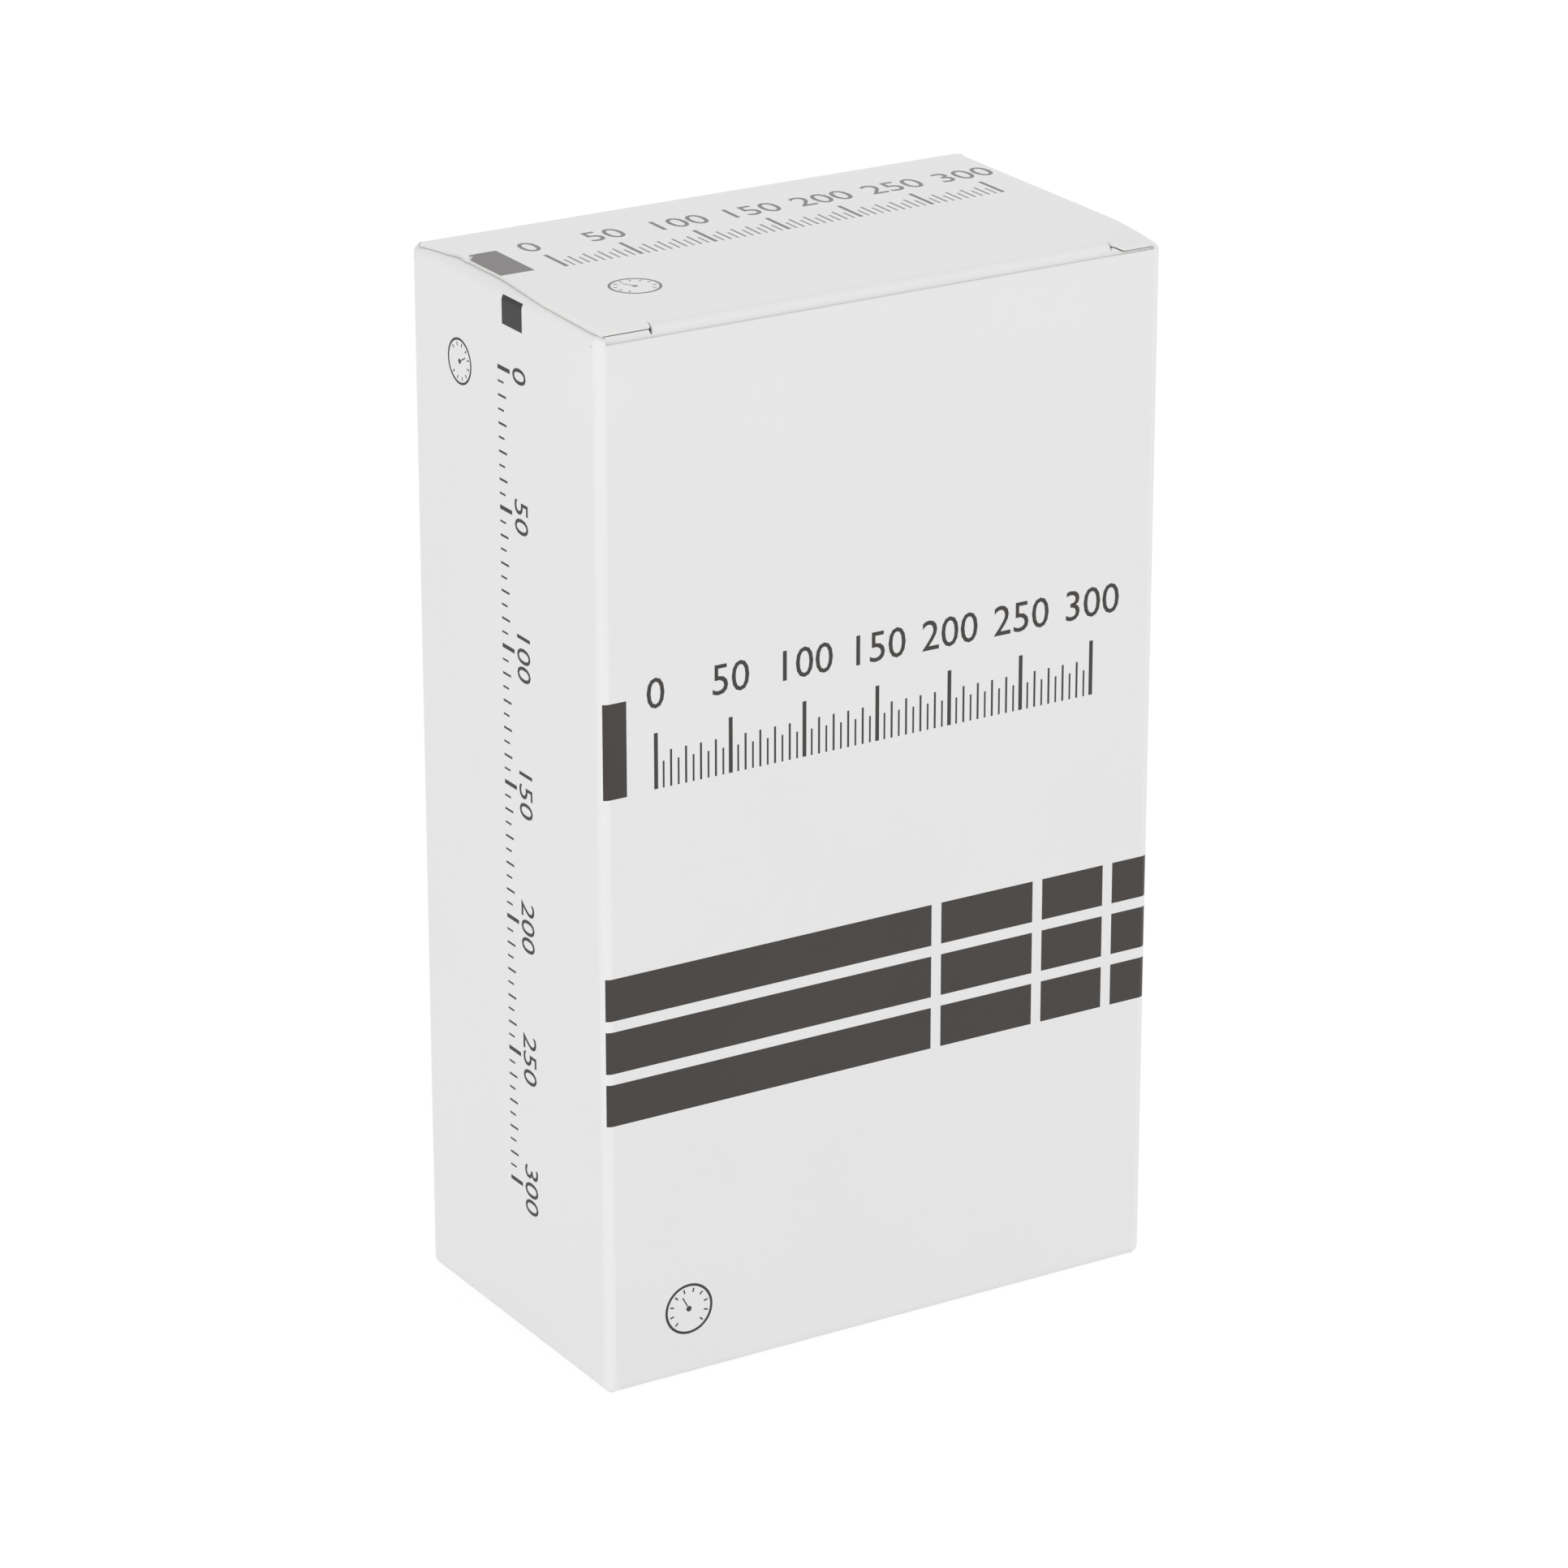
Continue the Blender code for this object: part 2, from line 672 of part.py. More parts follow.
SECTOR_SWING = POINTER_SWEEP * PINION_TEETH / WHEEL_TEETH
ROCKER_HEIGHT = PLATE_BASE - ROCKER_DROP
FINGER_LEVEL = CENTRES + SECTOR_TAIL_LENGTH - SECTOR_TAIL_WIDTH


def make_case(body_skin, chrome_skin, glass_skin, seal_skin):
    """The cup of the case with its ledges, the gasket, the lens and the bezel ring."""
    at = (GAUGE_X, GAUGE_Y, CASE_BASE)
    lower = CASE_RADIUS - CASE_LOWER_WALL
    middle = CASE_RADIUS - CASE_MIDDLE_WALL
    upper = CASE_RADIUS - CASE_UPPER_WALL
    profile = [
        (CASE_RADIUS, CASE_HEIGHT),
        (CASE_RADIUS, CASE_FLOOR),
        (CASE_RADIUS - CASE_FLOOR, 0.0),
        (0.0, 0.0),
        (0.0, CASE_FLOOR),
        (lower, CASE_FLOOR),
        (lower, PLATE_LEDGE),
        (middle, PLATE_LEDGE),
        (middle, DIAL_LEDGE),
        (upper, DIAL_LEDGE),
        (upper, CASE_HEIGHT),
    ]
    case = turned("gauge_case", profile, ROUND_STEPS, body_skin, at=at)
    hole = rod(
        "stem_hole_cutter",
        STEM_RADIUS + GAP,
        lower - OVERRUN,
        CASE_RADIUS + OVERRUN,
        16,
        at=(GAUGE_X, GAUGE_Y, CASE_BASE + STEM_HEIGHT),
        turn=(0.0, math.pi / 2, 0.0),
        guide=True,
    )
    combine(case, hole, "DIFFERENCE")
    ring = [
        (CASE_RADIUS, GASKET),
        (CASE_RADIUS, 0.0),
        (upper, 0.0),
        (upper, GASKET),
    ]
    turned("lens_gasket", ring, ROUND_STEPS, seal_skin, at=(GAUGE_X, GAUGE_Y, RIM_TOP + GAP))
    disc = circle(CASE_RADIUS, ROUND_STEPS)
    lens_middle = LENS_BASE + LENS / 2
    flat("gauge_lens", [disc], LENS, glass_skin, at=(GAUGE_X, GAUGE_Y, lens_middle))
    skirt = CASE_RADIUS + GAP
    rim = skirt + BEZEL_WALL
    base = RIM_TOP - BEZEL_SKIRT
    height = BEZEL_TOP - base
    lip = CASE_RADIUS - BEZEL_LIP
    ring = [
        (lip + BEZEL_WALL / 2, height),
        (rim - BEZEL_WALL / 2, height),
        (rim, height - BEZEL_WALL / 2),
        (rim, 0.0),
        (skirt, 0.0),
        (skirt, height - BEZEL_WALL),
        (lip, height - BEZEL_WALL),
    ]
    turned("gauge_bezel", ring, ROUND_STEPS, chrome_skin, at=(GAUGE_X, GAUGE_Y, base))
    face = circle(upper - GAP, ROUND_STEPS)
    bore = circle(ARBOR_RADIUS + PIVOT_CLEARANCE, 12)
    dial_middle = DIAL_BASE + DIAL / 2
    flat("gauge_dial", [face, bore], DIAL, body_skin, at=(GAUGE_X, GAUGE_Y, dial_middle))


def make_clip(skin):
    """A spring clip bent from one strip, open towards the left."""
    half = CLIP_LENGTH / 2
    bend = (CLIP_SPREAD - GAP) / 2
    path = [(-half, 0.0), (half - bend, 0.0)]
    path += arc((half - bend, bend), bend, -math.pi / 2, math.pi / 2, CLIP_BEND_STEPS)[1:]
    path += [(-half, 2 * bend)]
    flat(
        "spring_clip",
        [strip(path, CLIP)],
        CLIP_WIDTH,
        skin,
        at=(GAUGE_X, GAUGE_Y, CLIP_BASE),
        turn=(math.pi / 2, 0.0, 0.0),
    )


def make_capsule(skin, pin_skin):
    """Two ridged shells rim to rim, and the pin that stands on the upper one."""
    reach = CAPSULE_RADIUS - CAPSULE_BOSS_RADIUS
    crest_shares = ((0.72, 0.55), (0.46, 0.55), (0.20, 0.9))
    under = [(CAPSULE_RADIUS, 0.0)]
    for i, (where, rise) in enumerate(crest_shares):
        ridge = CAPSULE_RIDGE if i % 2 == 0 else 0.0
        height = rise * (CAPSULE_SHELL_HEIGHT - CAPSULE_SHEET) + ridge - CAPSULE_RIDGE
        under.append((CAPSULE_BOSS_RADIUS + where * reach, height))
    top = CAPSULE_SHELL_HEIGHT - CAPSULE_SHEET
    under += [(CAPSULE_BOSS_RADIUS, top), (0.0, top)]
    over = [(radius, height + CAPSULE_SHEET) for radius, height in under]
    upper = over[::-1] + under
    rim = CASE_BASE + CASE_FLOOR + GAP + CAPSULE_SHELL_HEIGHT
    at = (GAUGE_X, GAUGE_Y, rim + GAP)
    turned("capsule_upper", upper, 24, skin, at=at)
    lower = [(radius, -height) for radius, height in upper[::-1]]
    turned("capsule_lower", lower, 24, skin, at=(GAUGE_X, GAUGE_Y, rim))
    pin_base = rim + GAP + CAPSULE_SHELL_HEIGHT + GAP
    tip = ROCKER_HEIGHT - ROCKER_BAR / 2 - GAP
    rod("push_pin", PIN_RADIUS, 0.0, tip - pin_base, 10, pin_skin, at=(GAUGE_X, GAUGE_Y, pin_base))


def gear_outline(teeth, whole, pitch, first):
    """The flanks of some teeth of a wheel of so many teeth, from the first tooth's angle upward."""
    base = pitch * math.cos(PRESSURE_ANGLE)
    tip = pitch + TOOTH_TIP_SHARE * TEETH_MODULE
    root = pitch - TOOTH_ROOT_SHARE * TEETH_MODULE

    def spread(angle):
        return math.tan(angle) - angle

    def half_angle(radius):
        bend = math.acos(min(1.0, base / radius))
        at_pitch = math.pi / (2 * whole) - TOOTH_THINNING / (2 * pitch)
        return at_pitch + spread(PRESSURE_ANGLE) - spread(bend)

    points = []
    for i in range(teeth):
        middle = first + i * 2 * math.pi / whole
        for radius, side in (
            (root, -1),
            (pitch, -1),
            (tip, -1),
            (tip, 1),
            (pitch, 1),
            (root, 1),
        ):
            angle = middle + side * half_angle(radius)
            points.append((radius * math.cos(angle), radius * math.sin(angle)))
    return points


def make_sector(skin):
    """The toothed sector on its arbor, at the start of its swing."""
    half = SECTOR_TAIL_WIDTH / 2
    hub = SECTOR_HUB_RADIUS
    edge = (SECTOR_TEETH + 1) * math.pi / WHEEL_TEETH
    root = WHEEL_PITCH - TOOTH_ROOT_SHARE * TEETH_MODULE
    outline = [(half, SECTOR_TAIL_LENGTH), (-half, SECTOR_TAIL_LENGTH), (-half, hub)]
    outline += arc((0.0, 0.0), hub, math.radians(120), math.radians(200), 4)
    outline += [(-root * math.sin(edge), -root * math.cos(edge))]
    first = -math.pi / 2 - (SECTOR_TEETH // 2) * 2 * math.pi / WHEEL_TEETH
    outline += gear_outline(SECTOR_TEETH, WHEEL_TEETH, WHEEL_PITCH, first)
    outline += [(root * math.sin(edge), -root * math.cos(edge))]
    outline += arc((0.0, 0.0), hub, math.radians(-20), math.radians(60), 4)
    outline += [(half, hub)]
    centre = PLATE_TOP + (BRIDGE_BASE - PLATE_TOP) / 4
    sector = as_mesh(
        flat(
            "sector_gear",
            [outline],
            SECTOR_THICKNESS,
            skin,
            at=(GAUGE_X, GAUGE_Y + CENTRES, centre),
            turn=(0.0, 0.0, -SECTOR_SWING / 2),
        )
    )
    arbor = rod(
        "sector_arbor",
        ARBOR_RADIUS,
        PLATE_BASE,
        BRIDGE_BASE + PLATE / 2,
        10,
        at=(GAUGE_X, GAUGE_Y + CENTRES, 0.0),
        guide=True,
    )
    combine(sector, arbor, "UNION")


def make_pointer(arbor_skin, pointer_skin, spring_skin):
    """The pinion on its arbor, the hairspring round it and the pointer on its upper end."""
    start = math.pi / 2 + math.pi / PINION_TEETH + POINTER_SWEEP / 2
    teeth = gear_outline(PINION_TEETH, PINION_TEETH, PINION_PITCH, start)
    centre = PLATE_TOP + (BRIDGE_BASE - PLATE_TOP) / 4
    pinion = as_mesh(
        flat(
            "pointer_arbor",
            [teeth],
            PINION_THICKNESS,
            arbor_skin,
            at=(GAUGE_X, GAUGE_Y, centre),
        )
    )
    shaft = rod(
        "arbor_shaft",
        ARBOR_RADIUS,
        PLATE_BASE,
        POINTER_BASE + POINTER_THICKNESS,
        12,
        at=(GAUGE_X, GAUGE_Y, 0.0),
        guide=True,
    )
    combine(pinion, shaft, "UNION")
    half = POINTER_WIDTH / 2
    hub = POINTER_HUB_RADIUS
    lift = math.sqrt(hub * hub - half * half)
    outline = [(POINTER_LENGTH, POINTER_TIP_WIDTH / 2), (lift, half)]
    outline += arc((0.0, 0.0), hub, math.radians(45), math.radians(140), 4)
    outline += [(-POINTER_TAIL, half), (-POINTER_TAIL, -half)]
    outline += arc((0.0, 0.0), hub, math.radians(220), math.radians(315), 4)
    outline += [(lift, -half), (POINTER_LENGTH, -POINTER_TIP_WIDTH / 2)]
    bore = circle(ARBOR_RADIUS + GAP, 12)
    flat(
        "gauge_pointer",
        [outline, bore],
        POINTER_THICKNESS,
        pointer_skin,
        at=(GAUGE_X, GAUGE_Y, POINTER_BASE + POINTER_THICKNESS / 2),
        turn=(0.0, 0.0, math.pi + POINTER_SWEEP / 2),
    )
    steps = HAIRSPRING_TURNS * HAIRSPRING_STEPS
    outer = []
    inner = []
    for i in range(steps + 1):
        angle = 2 * math.pi * i / HAIRSPRING_STEPS
        radius = HAIRSPRING_INNER + (HAIRSPRING_OUTER - HAIRSPRING_INNER) * i / steps
        outer.append((radius * math.cos(angle), radius * math.sin(angle)))
        radius -= HAIRSPRING_STRIP
        inner.append((radius * math.cos(angle), radius * math.sin(angle)))
    level = (PLATE_TOP + 2 * BRIDGE_BASE) / 3
    flat(
        "hairspring",
        [outer + inner[::-1]],
        HAIRSPRING_HEIGHT,
        spring_skin,
        at=(GAUGE_X, GAUGE_Y, level),
    )


def make_plates(skin):
    """The round lower plate with its lugs, and the bridge on four pillars above it."""
    at = (GAUGE_X, GAUGE_Y, 0.0)
    radius = CASE_RADIUS - CASE_MIDDLE_WALL - GAP
    hole = ARBOR_RADIUS + PIVOT_CLEARANCE
    slot_low = FINGER_LEVEL - ROCKER_BAR / 2 - GAP
    slot_high = FINGER_LEVEL + ROCKER_BAR / 2 + GAP
    slot_left = ROCKER_FINGER_OFFSET - 2 * ROCKER_BAR
    slot_right = ROCKER_FINGER_OFFSET + 2 * ROCKER_BAR
    outlines = [
        circle(radius, ROUND_STEPS),
        circle(hole, 12),
        circle(hole, 12, (0.0, CENTRES)),
        [(slot_left, slot_low), (slot_right, slot_low), (slot_right, slot_high), (slot_left, slot_high)],
    ]
    plate = as_mesh(
        flat(
            "movement_plate",
            outlines,
            PLATE,
            skin,
            at=(GAUGE_X, GAUGE_Y, PLATE_BASE + PLATE / 2),
        )
    )
    lug_shares = (0.25, 0.75)
    for number, share in enumerate(lug_shares):
        middle = share * CENTRES
        lug = box(
            f"lug_{number}",
            (-ROCKER_REACH - LUG_WIDTH / 2, middle - LUG_THICKNESS / 2, ROCKER_HEIGHT - LUG_WIDTH / 2),
            (LUG_WIDTH / 2 - ROCKER_REACH, middle + LUG_THICKNESS / 2, PLATE_BASE + PLATE / 2),
            at=at,
            guide=True,
        )
        combine(plate, lug, "UNION")
    bore = rod(
        "lug_bore_cutter",
        ROCKER_SHAFT_RADIUS + PIVOT_CLEARANCE,
        -CENTRES,
        0.0,
        12,
        at=(GAUGE_X - ROCKER_REACH, GAUGE_Y, ROCKER_HEIGHT),
        turn=(math.pi / 2, 0.0, 0.0),
        guide=True,
    )
    combine(plate, bore, "DIFFERENCE")
    half = BRIDGE_HALF_WIDTH
    outline = [
        (-half, -BRIDGE_FRONT),
        (half, -BRIDGE_FRONT),
        (half, CENTRES + BRIDGE_BACK),
        (-half, CENTRES + BRIDGE_BACK),
    ]
    bridge = as_mesh(
        flat(
            "movement_bridge",
            [outline, circle(hole, 12), circle(hole, 12, (0.0, CENTRES))],
            PLATE,
            skin,
            at=(GAUGE_X, GAUGE_Y, BRIDGE_BASE + PLATE / 2),
        )
    )
    inset = half - PILLAR_RADIUS - GAP
    front = PILLAR_RADIUS + GAP - BRIDGE_FRONT
    back = CENTRES + BRIDGE_BACK - PILLAR_RADIUS - GAP
    for number, (x, y) in enumerate(((-inset, front), (inset, front), (-inset, back), (inset, back))):
        pillar = rod(
            f"pillar_{number}",
            PILLAR_RADIUS,
            PLATE_TOP + GAP,
            BRIDGE_BASE + PLATE / 2,
            10,
            at=(GAUGE_X + x, GAUGE_Y + y, 0.0),
            guide=True,
        )
        combine(bridge, pillar, "UNION")


def make_rocker(skin):
    """The cross shaft with an arm over the capsule's pin and a finger beside the sector's tail."""
    at = (GAUGE_X - ROCKER_REACH, GAUGE_Y, ROCKER_HEIGHT)
    rocker = rod(
        "rocker",
        ROCKER_SHAFT_RADIUS,
        -CENTRES - ROCKER_SHAFT_BACK,
        ROCKER_SHAFT_FRONT,
        12,
        skin,
        at=at,
        turn=(math.pi / 2, 0.0, 0.0),
    )
    half = ROCKER_BAR / 2
    thick = ROCKER_ARM_SHARE * half
    arm = box(
        "rocker_arm",
        (0.0, -half, -half),
        (ROCKER_REACH + PIN_RADIUS, half, thick),
        at=at,
        guide=True,
    )
    combine(rocker, arm, "UNION")
    reach = ROCKER_REACH + ROCKER_FINGER_OFFSET
    level = FINGER_LEVEL
    bar = box(
        "rocker_bar",
        (0.0, level - half, -half),
        (reach + ROCKER_BAR, level + half, thick),
        at=at,
        guide=True,
    )
    combine(rocker, bar, "UNION")
    finger = box(
        "rocker_finger",
        (reach, level - ROCKER_FINGER_SHARE * half, 0.0),
        (reach + ROCKER_FINGER_SHARE * ROCKER_BAR, level + ROCKER_FINGER_SHARE * half, ROCKER_FINGER_HEIGHT),
        at=at,
        guide=True,
    )
    combine(rocker, finger, "UNION")


def barb_profile(start, length, bore):
    """The outer points of a barb from its tip down to its start, tapering up to each ring."""
    points = []
    step = length / BARB_RINGS
    for i in range(BARB_RINGS, 0, -1):
        points.append((BARB_WAIST, start + i * step))
        points.append((BARB_RADIUS, start + (i - 1) * step + step / 4))
    points.append((BARB_WAIST, start))
    return [(bore, start + length)] + points


def make_stem(skin):
    """The inlet stem: through the case wall, a flange outside it, and a barb for the hose."""
    inner = CAPSULE_RADIUS + GAP
    flange = CASE_RADIUS + GAP
    barb = flange + STEM_FLANGE
    profile = barb_profile(barb, BARB_LENGTH, STEM_BORE)
    profile += [
        (STEM_FLANGE_RADIUS, barb),
        (STEM_FLANGE_RADIUS, flange),
        (STEM_RADIUS, flange),
        (STEM_RADIUS, inner),
        (STEM_BORE, inner),
    ]
    at = (GAUGE_X, GAUGE_Y, CASE_BASE + STEM_HEIGHT)
    turned("inlet_stem", profile, 16, skin, at=at, turn=(0.0, math.pi / 2, 0.0))


# Squeeze bulb and its valves

BULB_X = HALF_WIDTH - BOARD - BULB_WALL_CLEARANCE - BULB_RADIUS
BULB_BASE = FLOOR_TOP + INTAKE_FLANGE + GAP
BULB_TOP = BULB_BASE + BULB_LENGTH
SEAL_BASE = BULB_TOP + GAP
FLANGE_BASE = SEAL_BASE + SEAL_RING + GAP
BODY_BASE = FLANGE_BASE + VALVE_FLANGE
BARB_BASE = BODY_BASE + VALVE_BODY_LENGTH
SCREW_LEVEL = BODY_BASE + VALVE_BODY_LENGTH / 2


def bulb_radius(share):
    """Radius along the swelling between the necks, fullest a little above the middle."""
    swell = math.sin(math.pi * share ** 0.9) ** 0.75
    return BULB_NECK_RADIUS + (BULB_RADIUS - BULB_NECK_RADIUS) * swell


def make_bulb(skin):
    """The hollow rubber bulb with an open neck at each end."""
    body = BULB_LENGTH - 2 * BULB_NECK_LENGTH
    shares = [i / BULB_RINGS for i in range(BULB_RINGS, -1, -1)]
    outer = [(BULB_NECK_RADIUS, BULB_LENGTH)]
    outer += [(bulb_radius(s), BULB_NECK_LENGTH + s * body) for s in shares]
    outer += [(BULB_NECK_RADIUS, 0.0)]
    inner = [(BULB_NECK_BORE, 0.0), (BULB_NECK_BORE, BULB_NECK_LENGTH)]
    for s in shares[::-1][1:-1]:
        inner.append((bulb_radius(s) - BULB_WALL, BULB_NECK_LENGTH + s * body))
    inner += [(BULB_NECK_BORE, BULB_LENGTH - BULB_NECK_LENGTH), (BULB_NECK_BORE, BULB_LENGTH)]
    turned("inflation_bulb", outer + inner, BULB_STEPS, skin, at=(BULB_X, 0.0, BULB_BASE))


def make_intake(metal_skin):
    """The intake valve in the lower neck, with the ball that closes it."""
    plug = BULB_NECK_BORE - GAP
    seat = INTAKE_FLANGE + INTAKE_SEAT_RISE
    slope = math.atan2(INTAKE_SEAT_RISE, INTAKE_CHAMBER - INTAKE_HOLE)
    contact = (BALL_RADIUS + GAP) / math.cos(slope)
    centre = INTAKE_FLANGE + contact - INTAKE_HOLE * math.tan(slope)
    roof = centre + BALL_RADIUS + BALL_LIFT + GAP
    profile = [
        (plug, INTAKE_LENGTH),
        (plug, INTAKE_FLANGE),
        (INTAKE_FLANGE_RADIUS, INTAKE_FLANGE),
        (INTAKE_FLANGE_RADIUS, 0.0),
        (INTAKE_HOLE, 0.0),
        (INTAKE_HOLE, INTAKE_FLANGE),
        (INTAKE_CHAMBER, seat),
        (INTAKE_CHAMBER, roof),
        (INTAKE_HOLE, roof),
        (INTAKE_HOLE, INTAKE_LENGTH),
    ]
    turned("intake_valve_body", profile, VALVE_STEPS, metal_skin, at=(BULB_X, 0.0, FLOOR_TOP))
    mesh = bpy.data.meshes.new("intake_valve_ball")
    shape = bmesh.new()
    bmesh.ops.create_uvsphere(shape, u_segments=12, v_segments=8, radius=BALL_RADIUS)
    shape.to_mesh(mesh)
    shape.free()
    mesh.shade_smooth()
    ball = bpy.data.objects.new("intake_valve_ball", mesh)
    place(ball, metal_skin, at=(BULB_X, 0.0, FLOOR_TOP + centre))


def make_release_valve(metal_skin, seal_skin):
    """The release valve: plug, flange, body with a side boss, barb, and the thumbscrew."""
    plug = BULB_NECK_BORE - GAP
    at = (BULB_X, 0.0, 0.0)
    profile = barb_profile(BARB_BASE, BARB_LENGTH, VALVE_PASSAGE)
    profile += [
        (VALVE_BODY_RADIUS, BARB_BASE),
        (VALVE_BODY_RADIUS, BODY_BASE),
        (VALVE_FLANGE_RADIUS, BODY_BASE),
        (VALVE_FLANGE_RADIUS, FLANGE_BASE),
        (plug, FLANGE_BASE),
        (plug, BULB_TOP - VALVE_PLUG_LENGTH),
        (VALVE_PASSAGE, BULB_TOP - VALVE_PLUG_LENGTH),
    ]
    valve = turned("release_valve_body", profile, VALVE_STEPS, metal_skin, at=at)
    side = (BULB_X, 0.0, SCREW_LEVEL)
    level = (math.pi / 2, 0.0, 0.0)
    inside = VALVE_BODY_RADIUS / 2
    boss = rod("boss", BOSS_RADIUS, inside, BOSS_REACH, 18, at=side, turn=level, guide=True)
    combine(valve, boss, "UNION")
    depth = BOSS_REACH - SCREW_LENGTH
    bore = rod(
        "screw_bore_cutter",
        SCREW_RADIUS + GAP,
        depth - GAP,
        BOSS_REACH + OVERRUN,
        14,
        at=side,
        turn=level,
        guide=True,
    )
    combine(valve, bore, "DIFFERENCE")
    ring = [
        (VALVE_FLANGE_RADIUS, SEAL_RING),
        (VALVE_FLANGE_RADIUS, 0.0),
        (SEAL_RING_BORE, 0.0),
        (SEAL_RING_BORE, SEAL_RING),
    ]
    turned("valve_seal_ring", ring, VALVE_STEPS, seal_skin, at=(BULB_X, 0.0, SEAL_BASE))
    neck = BOSS_REACH + GAP
    head = neck + SCREW_COLLAR
    flutes = []
    for i in range(2 * SCREW_FLUTES):
        radius = SCREW_HEAD_RADIUS - (SCREW_FLUTE_DEPTH if i % 2 else 0.0)
        angle = math.pi * i / SCREW_FLUTES
        flutes.append((radius * math.cos(angle), radius * math.sin(angle)))
    middle = head + SCREW_HEAD_LENGTH / 2
    screw = as_mesh(
        flat(
            "valve_thumbscrew",
            [flutes],
            SCREW_HEAD_LENGTH,
            metal_skin,
            at=(BULB_X, -middle, SCREW_LEVEL),
            turn=level,
        )
    )
    inner_half = SCREW_HEAD_LENGTH / 2
    collar = rod(
        "screw_collar",
        SCREW_COLLAR_RADIUS,
        neck,
        head + inner_half,
        14,
        at=side,
        turn=level,
        guide=True,
    )
    combine(screw, collar, "UNION")
    stem = rod("screw_stem", SCREW_RADIUS, depth, head, 14, at=side, turn=level, guide=True)
    combine(screw, stem, "UNION")


# Hoses

def make_hose(name, route, skin):
    """A tube along a smooth route with its bore cut out."""
    tubes = []
    for kind, radius, resolution in ((name, HOSE_RADIUS, 2), (name + "_bore_cutter", HOSE_BORE, 1)):
        points = list(route)
        if kind != name:
            first = (points[0] - points[1]).normalized()
            last = (points[-1] - points[-2]).normalized()
            points = [points[0] + first * OVERRUN] + points + [points[-1] + last * OVERRUN]
        curve = bpy.data.curves.new(kind, "CURVE")
        curve.dimensions = "3D"
        curve.bevel_depth = radius
        curve.bevel_resolution = resolution
        curve.use_fill_caps = True
        spline = curve.splines.new("POLY")
        spline.points.add(len(points) - 1)
        for point, place_at in zip(spline.points, points):
            point.co = (*place_at, 1.0)
        item = place(bpy.data.objects.new(kind, curve), skin, guide=kind != name)
        tubes.append(as_mesh(item))
    hose, bore = tubes
    combine(hose, bore, "DIFFERENCE")
    length = sum((b - a).length for a, b in zip(route, route[1:]))
    print(f"{name}: {length * 1000:.0f} mm long, least gap to itself {self_gap(route) * 1000:.1f} mm")


def self_gap(route):
    """Least room between two stretches of one hose that are not neighbours."""
    apart = 4 * HOSE_RADIUS
    least = math.inf
    for i, first in enumerate(route):
        run = 0.0
        for before, after in zip(route[i:], route[i + 1:]):
            run += (after - before).length
            if run > math.pi * apart:
                least = min(least, (after - first).length - 2 * HOSE_RADIUS)
    return least


def make_hoses(skin):
    """The gauge's hose, looped above the bulb, and the bulb's hose over to the roll."""
    stem_z = CASE_BASE + STEM_HEIGHT
    start = GAUGE_X + CASE_RADIUS + GAP + STEM_FLANGE + GAP
    straight = BARB_LENGTH
    port_z = ROLL_TOP + GAP + PORT_COLLAR + 2 * GAP
    first_x, first_y, _ = port_place(ROLL_TURNS - PORT_TURNS_BACK)
    second_x, second_y, _ = port_place(ROLL_TURNS - PORT_TURNS_BACK + PORT_TURNS_APART)
    loops = []
    for i in range(LOOP_POINTS + 1):
        share = i / LOOP_POINTS
        angle = LOOP_FROM + share * (LOOP_TO - LOOP_FROM)
        height = ROLL_TOP + LOOP_RISE - share * LOOP_DEPTH
        x = BULB_X - LOOP_SIDE_SHIFT + LOOP_RADIUS * math.cos(angle)
        y = LOOP_RADIUS * math.sin(angle)
        loops.append((x, y, height))
    gauge_route = [
        (start, GAUGE_Y, stem_z),
        (start + straight, GAUGE_Y, stem_z),
        (start + HOSE_STEM_SHARE * straight, GAUGE_Y, stem_z),
        (0.0125, 0.0125, ROLL_TOP + 0.0063),
    ]
    gauge_route += loops
    gauge_route += [
        (0.0095, -0.0190, ROLL_TOP - 0.0427),
        (0.0015, -0.0190, ROLL_TOP - 0.0327),
        (-0.0015, -0.0200, ROLL_TOP - 0.0147),
        (-0.0050, -0.0225, ROLL_TOP + 0.0083),
        (-0.0120, -0.0250, ROLL_TOP + 0.0283),
        (-0.0215, -0.0245, ROLL_TOP + 0.0363),
        (first_x, first_y, port_z + HOSE_PORT_SHARE * straight),
        (first_x, first_y, port_z + straight),
        (first_x, first_y, port_z),
    ]
    make_hose("gauge_hose", smooth_route(gauge_route, 3), skin)
    barb = BARB_BASE + GAP
    bulb_route = [
        (BULB_X, 0.0, barb),
        (BULB_X, 0.0, barb + straight),
        (BULB_X, 0.0, barb + HOSE_VALVE_SHARE * straight),
        (0.0357, -0.0005, ROLL_TOP + 0.0023),
        (0.0310, -0.0020, ROLL_TOP + 0.0203),
        (0.0210, -0.0055, ROLL_TOP + 0.0393),
        (0.0060, -0.0100, ROLL_TOP + 0.0488),
        (-0.0090, -0.0140, ROLL_TOP + 0.0473),
        (-0.0185, -0.0165, ROLL_TOP + 0.0363),
        (second_x, second_y, port_z + HOSE_PORT_SHARE * straight),
        (second_x, second_y, port_z + straight),
        (second_x, second_y, port_z),
    ]
    make_hose("bulb_hose", smooth_route(bulb_route, 4), skin)


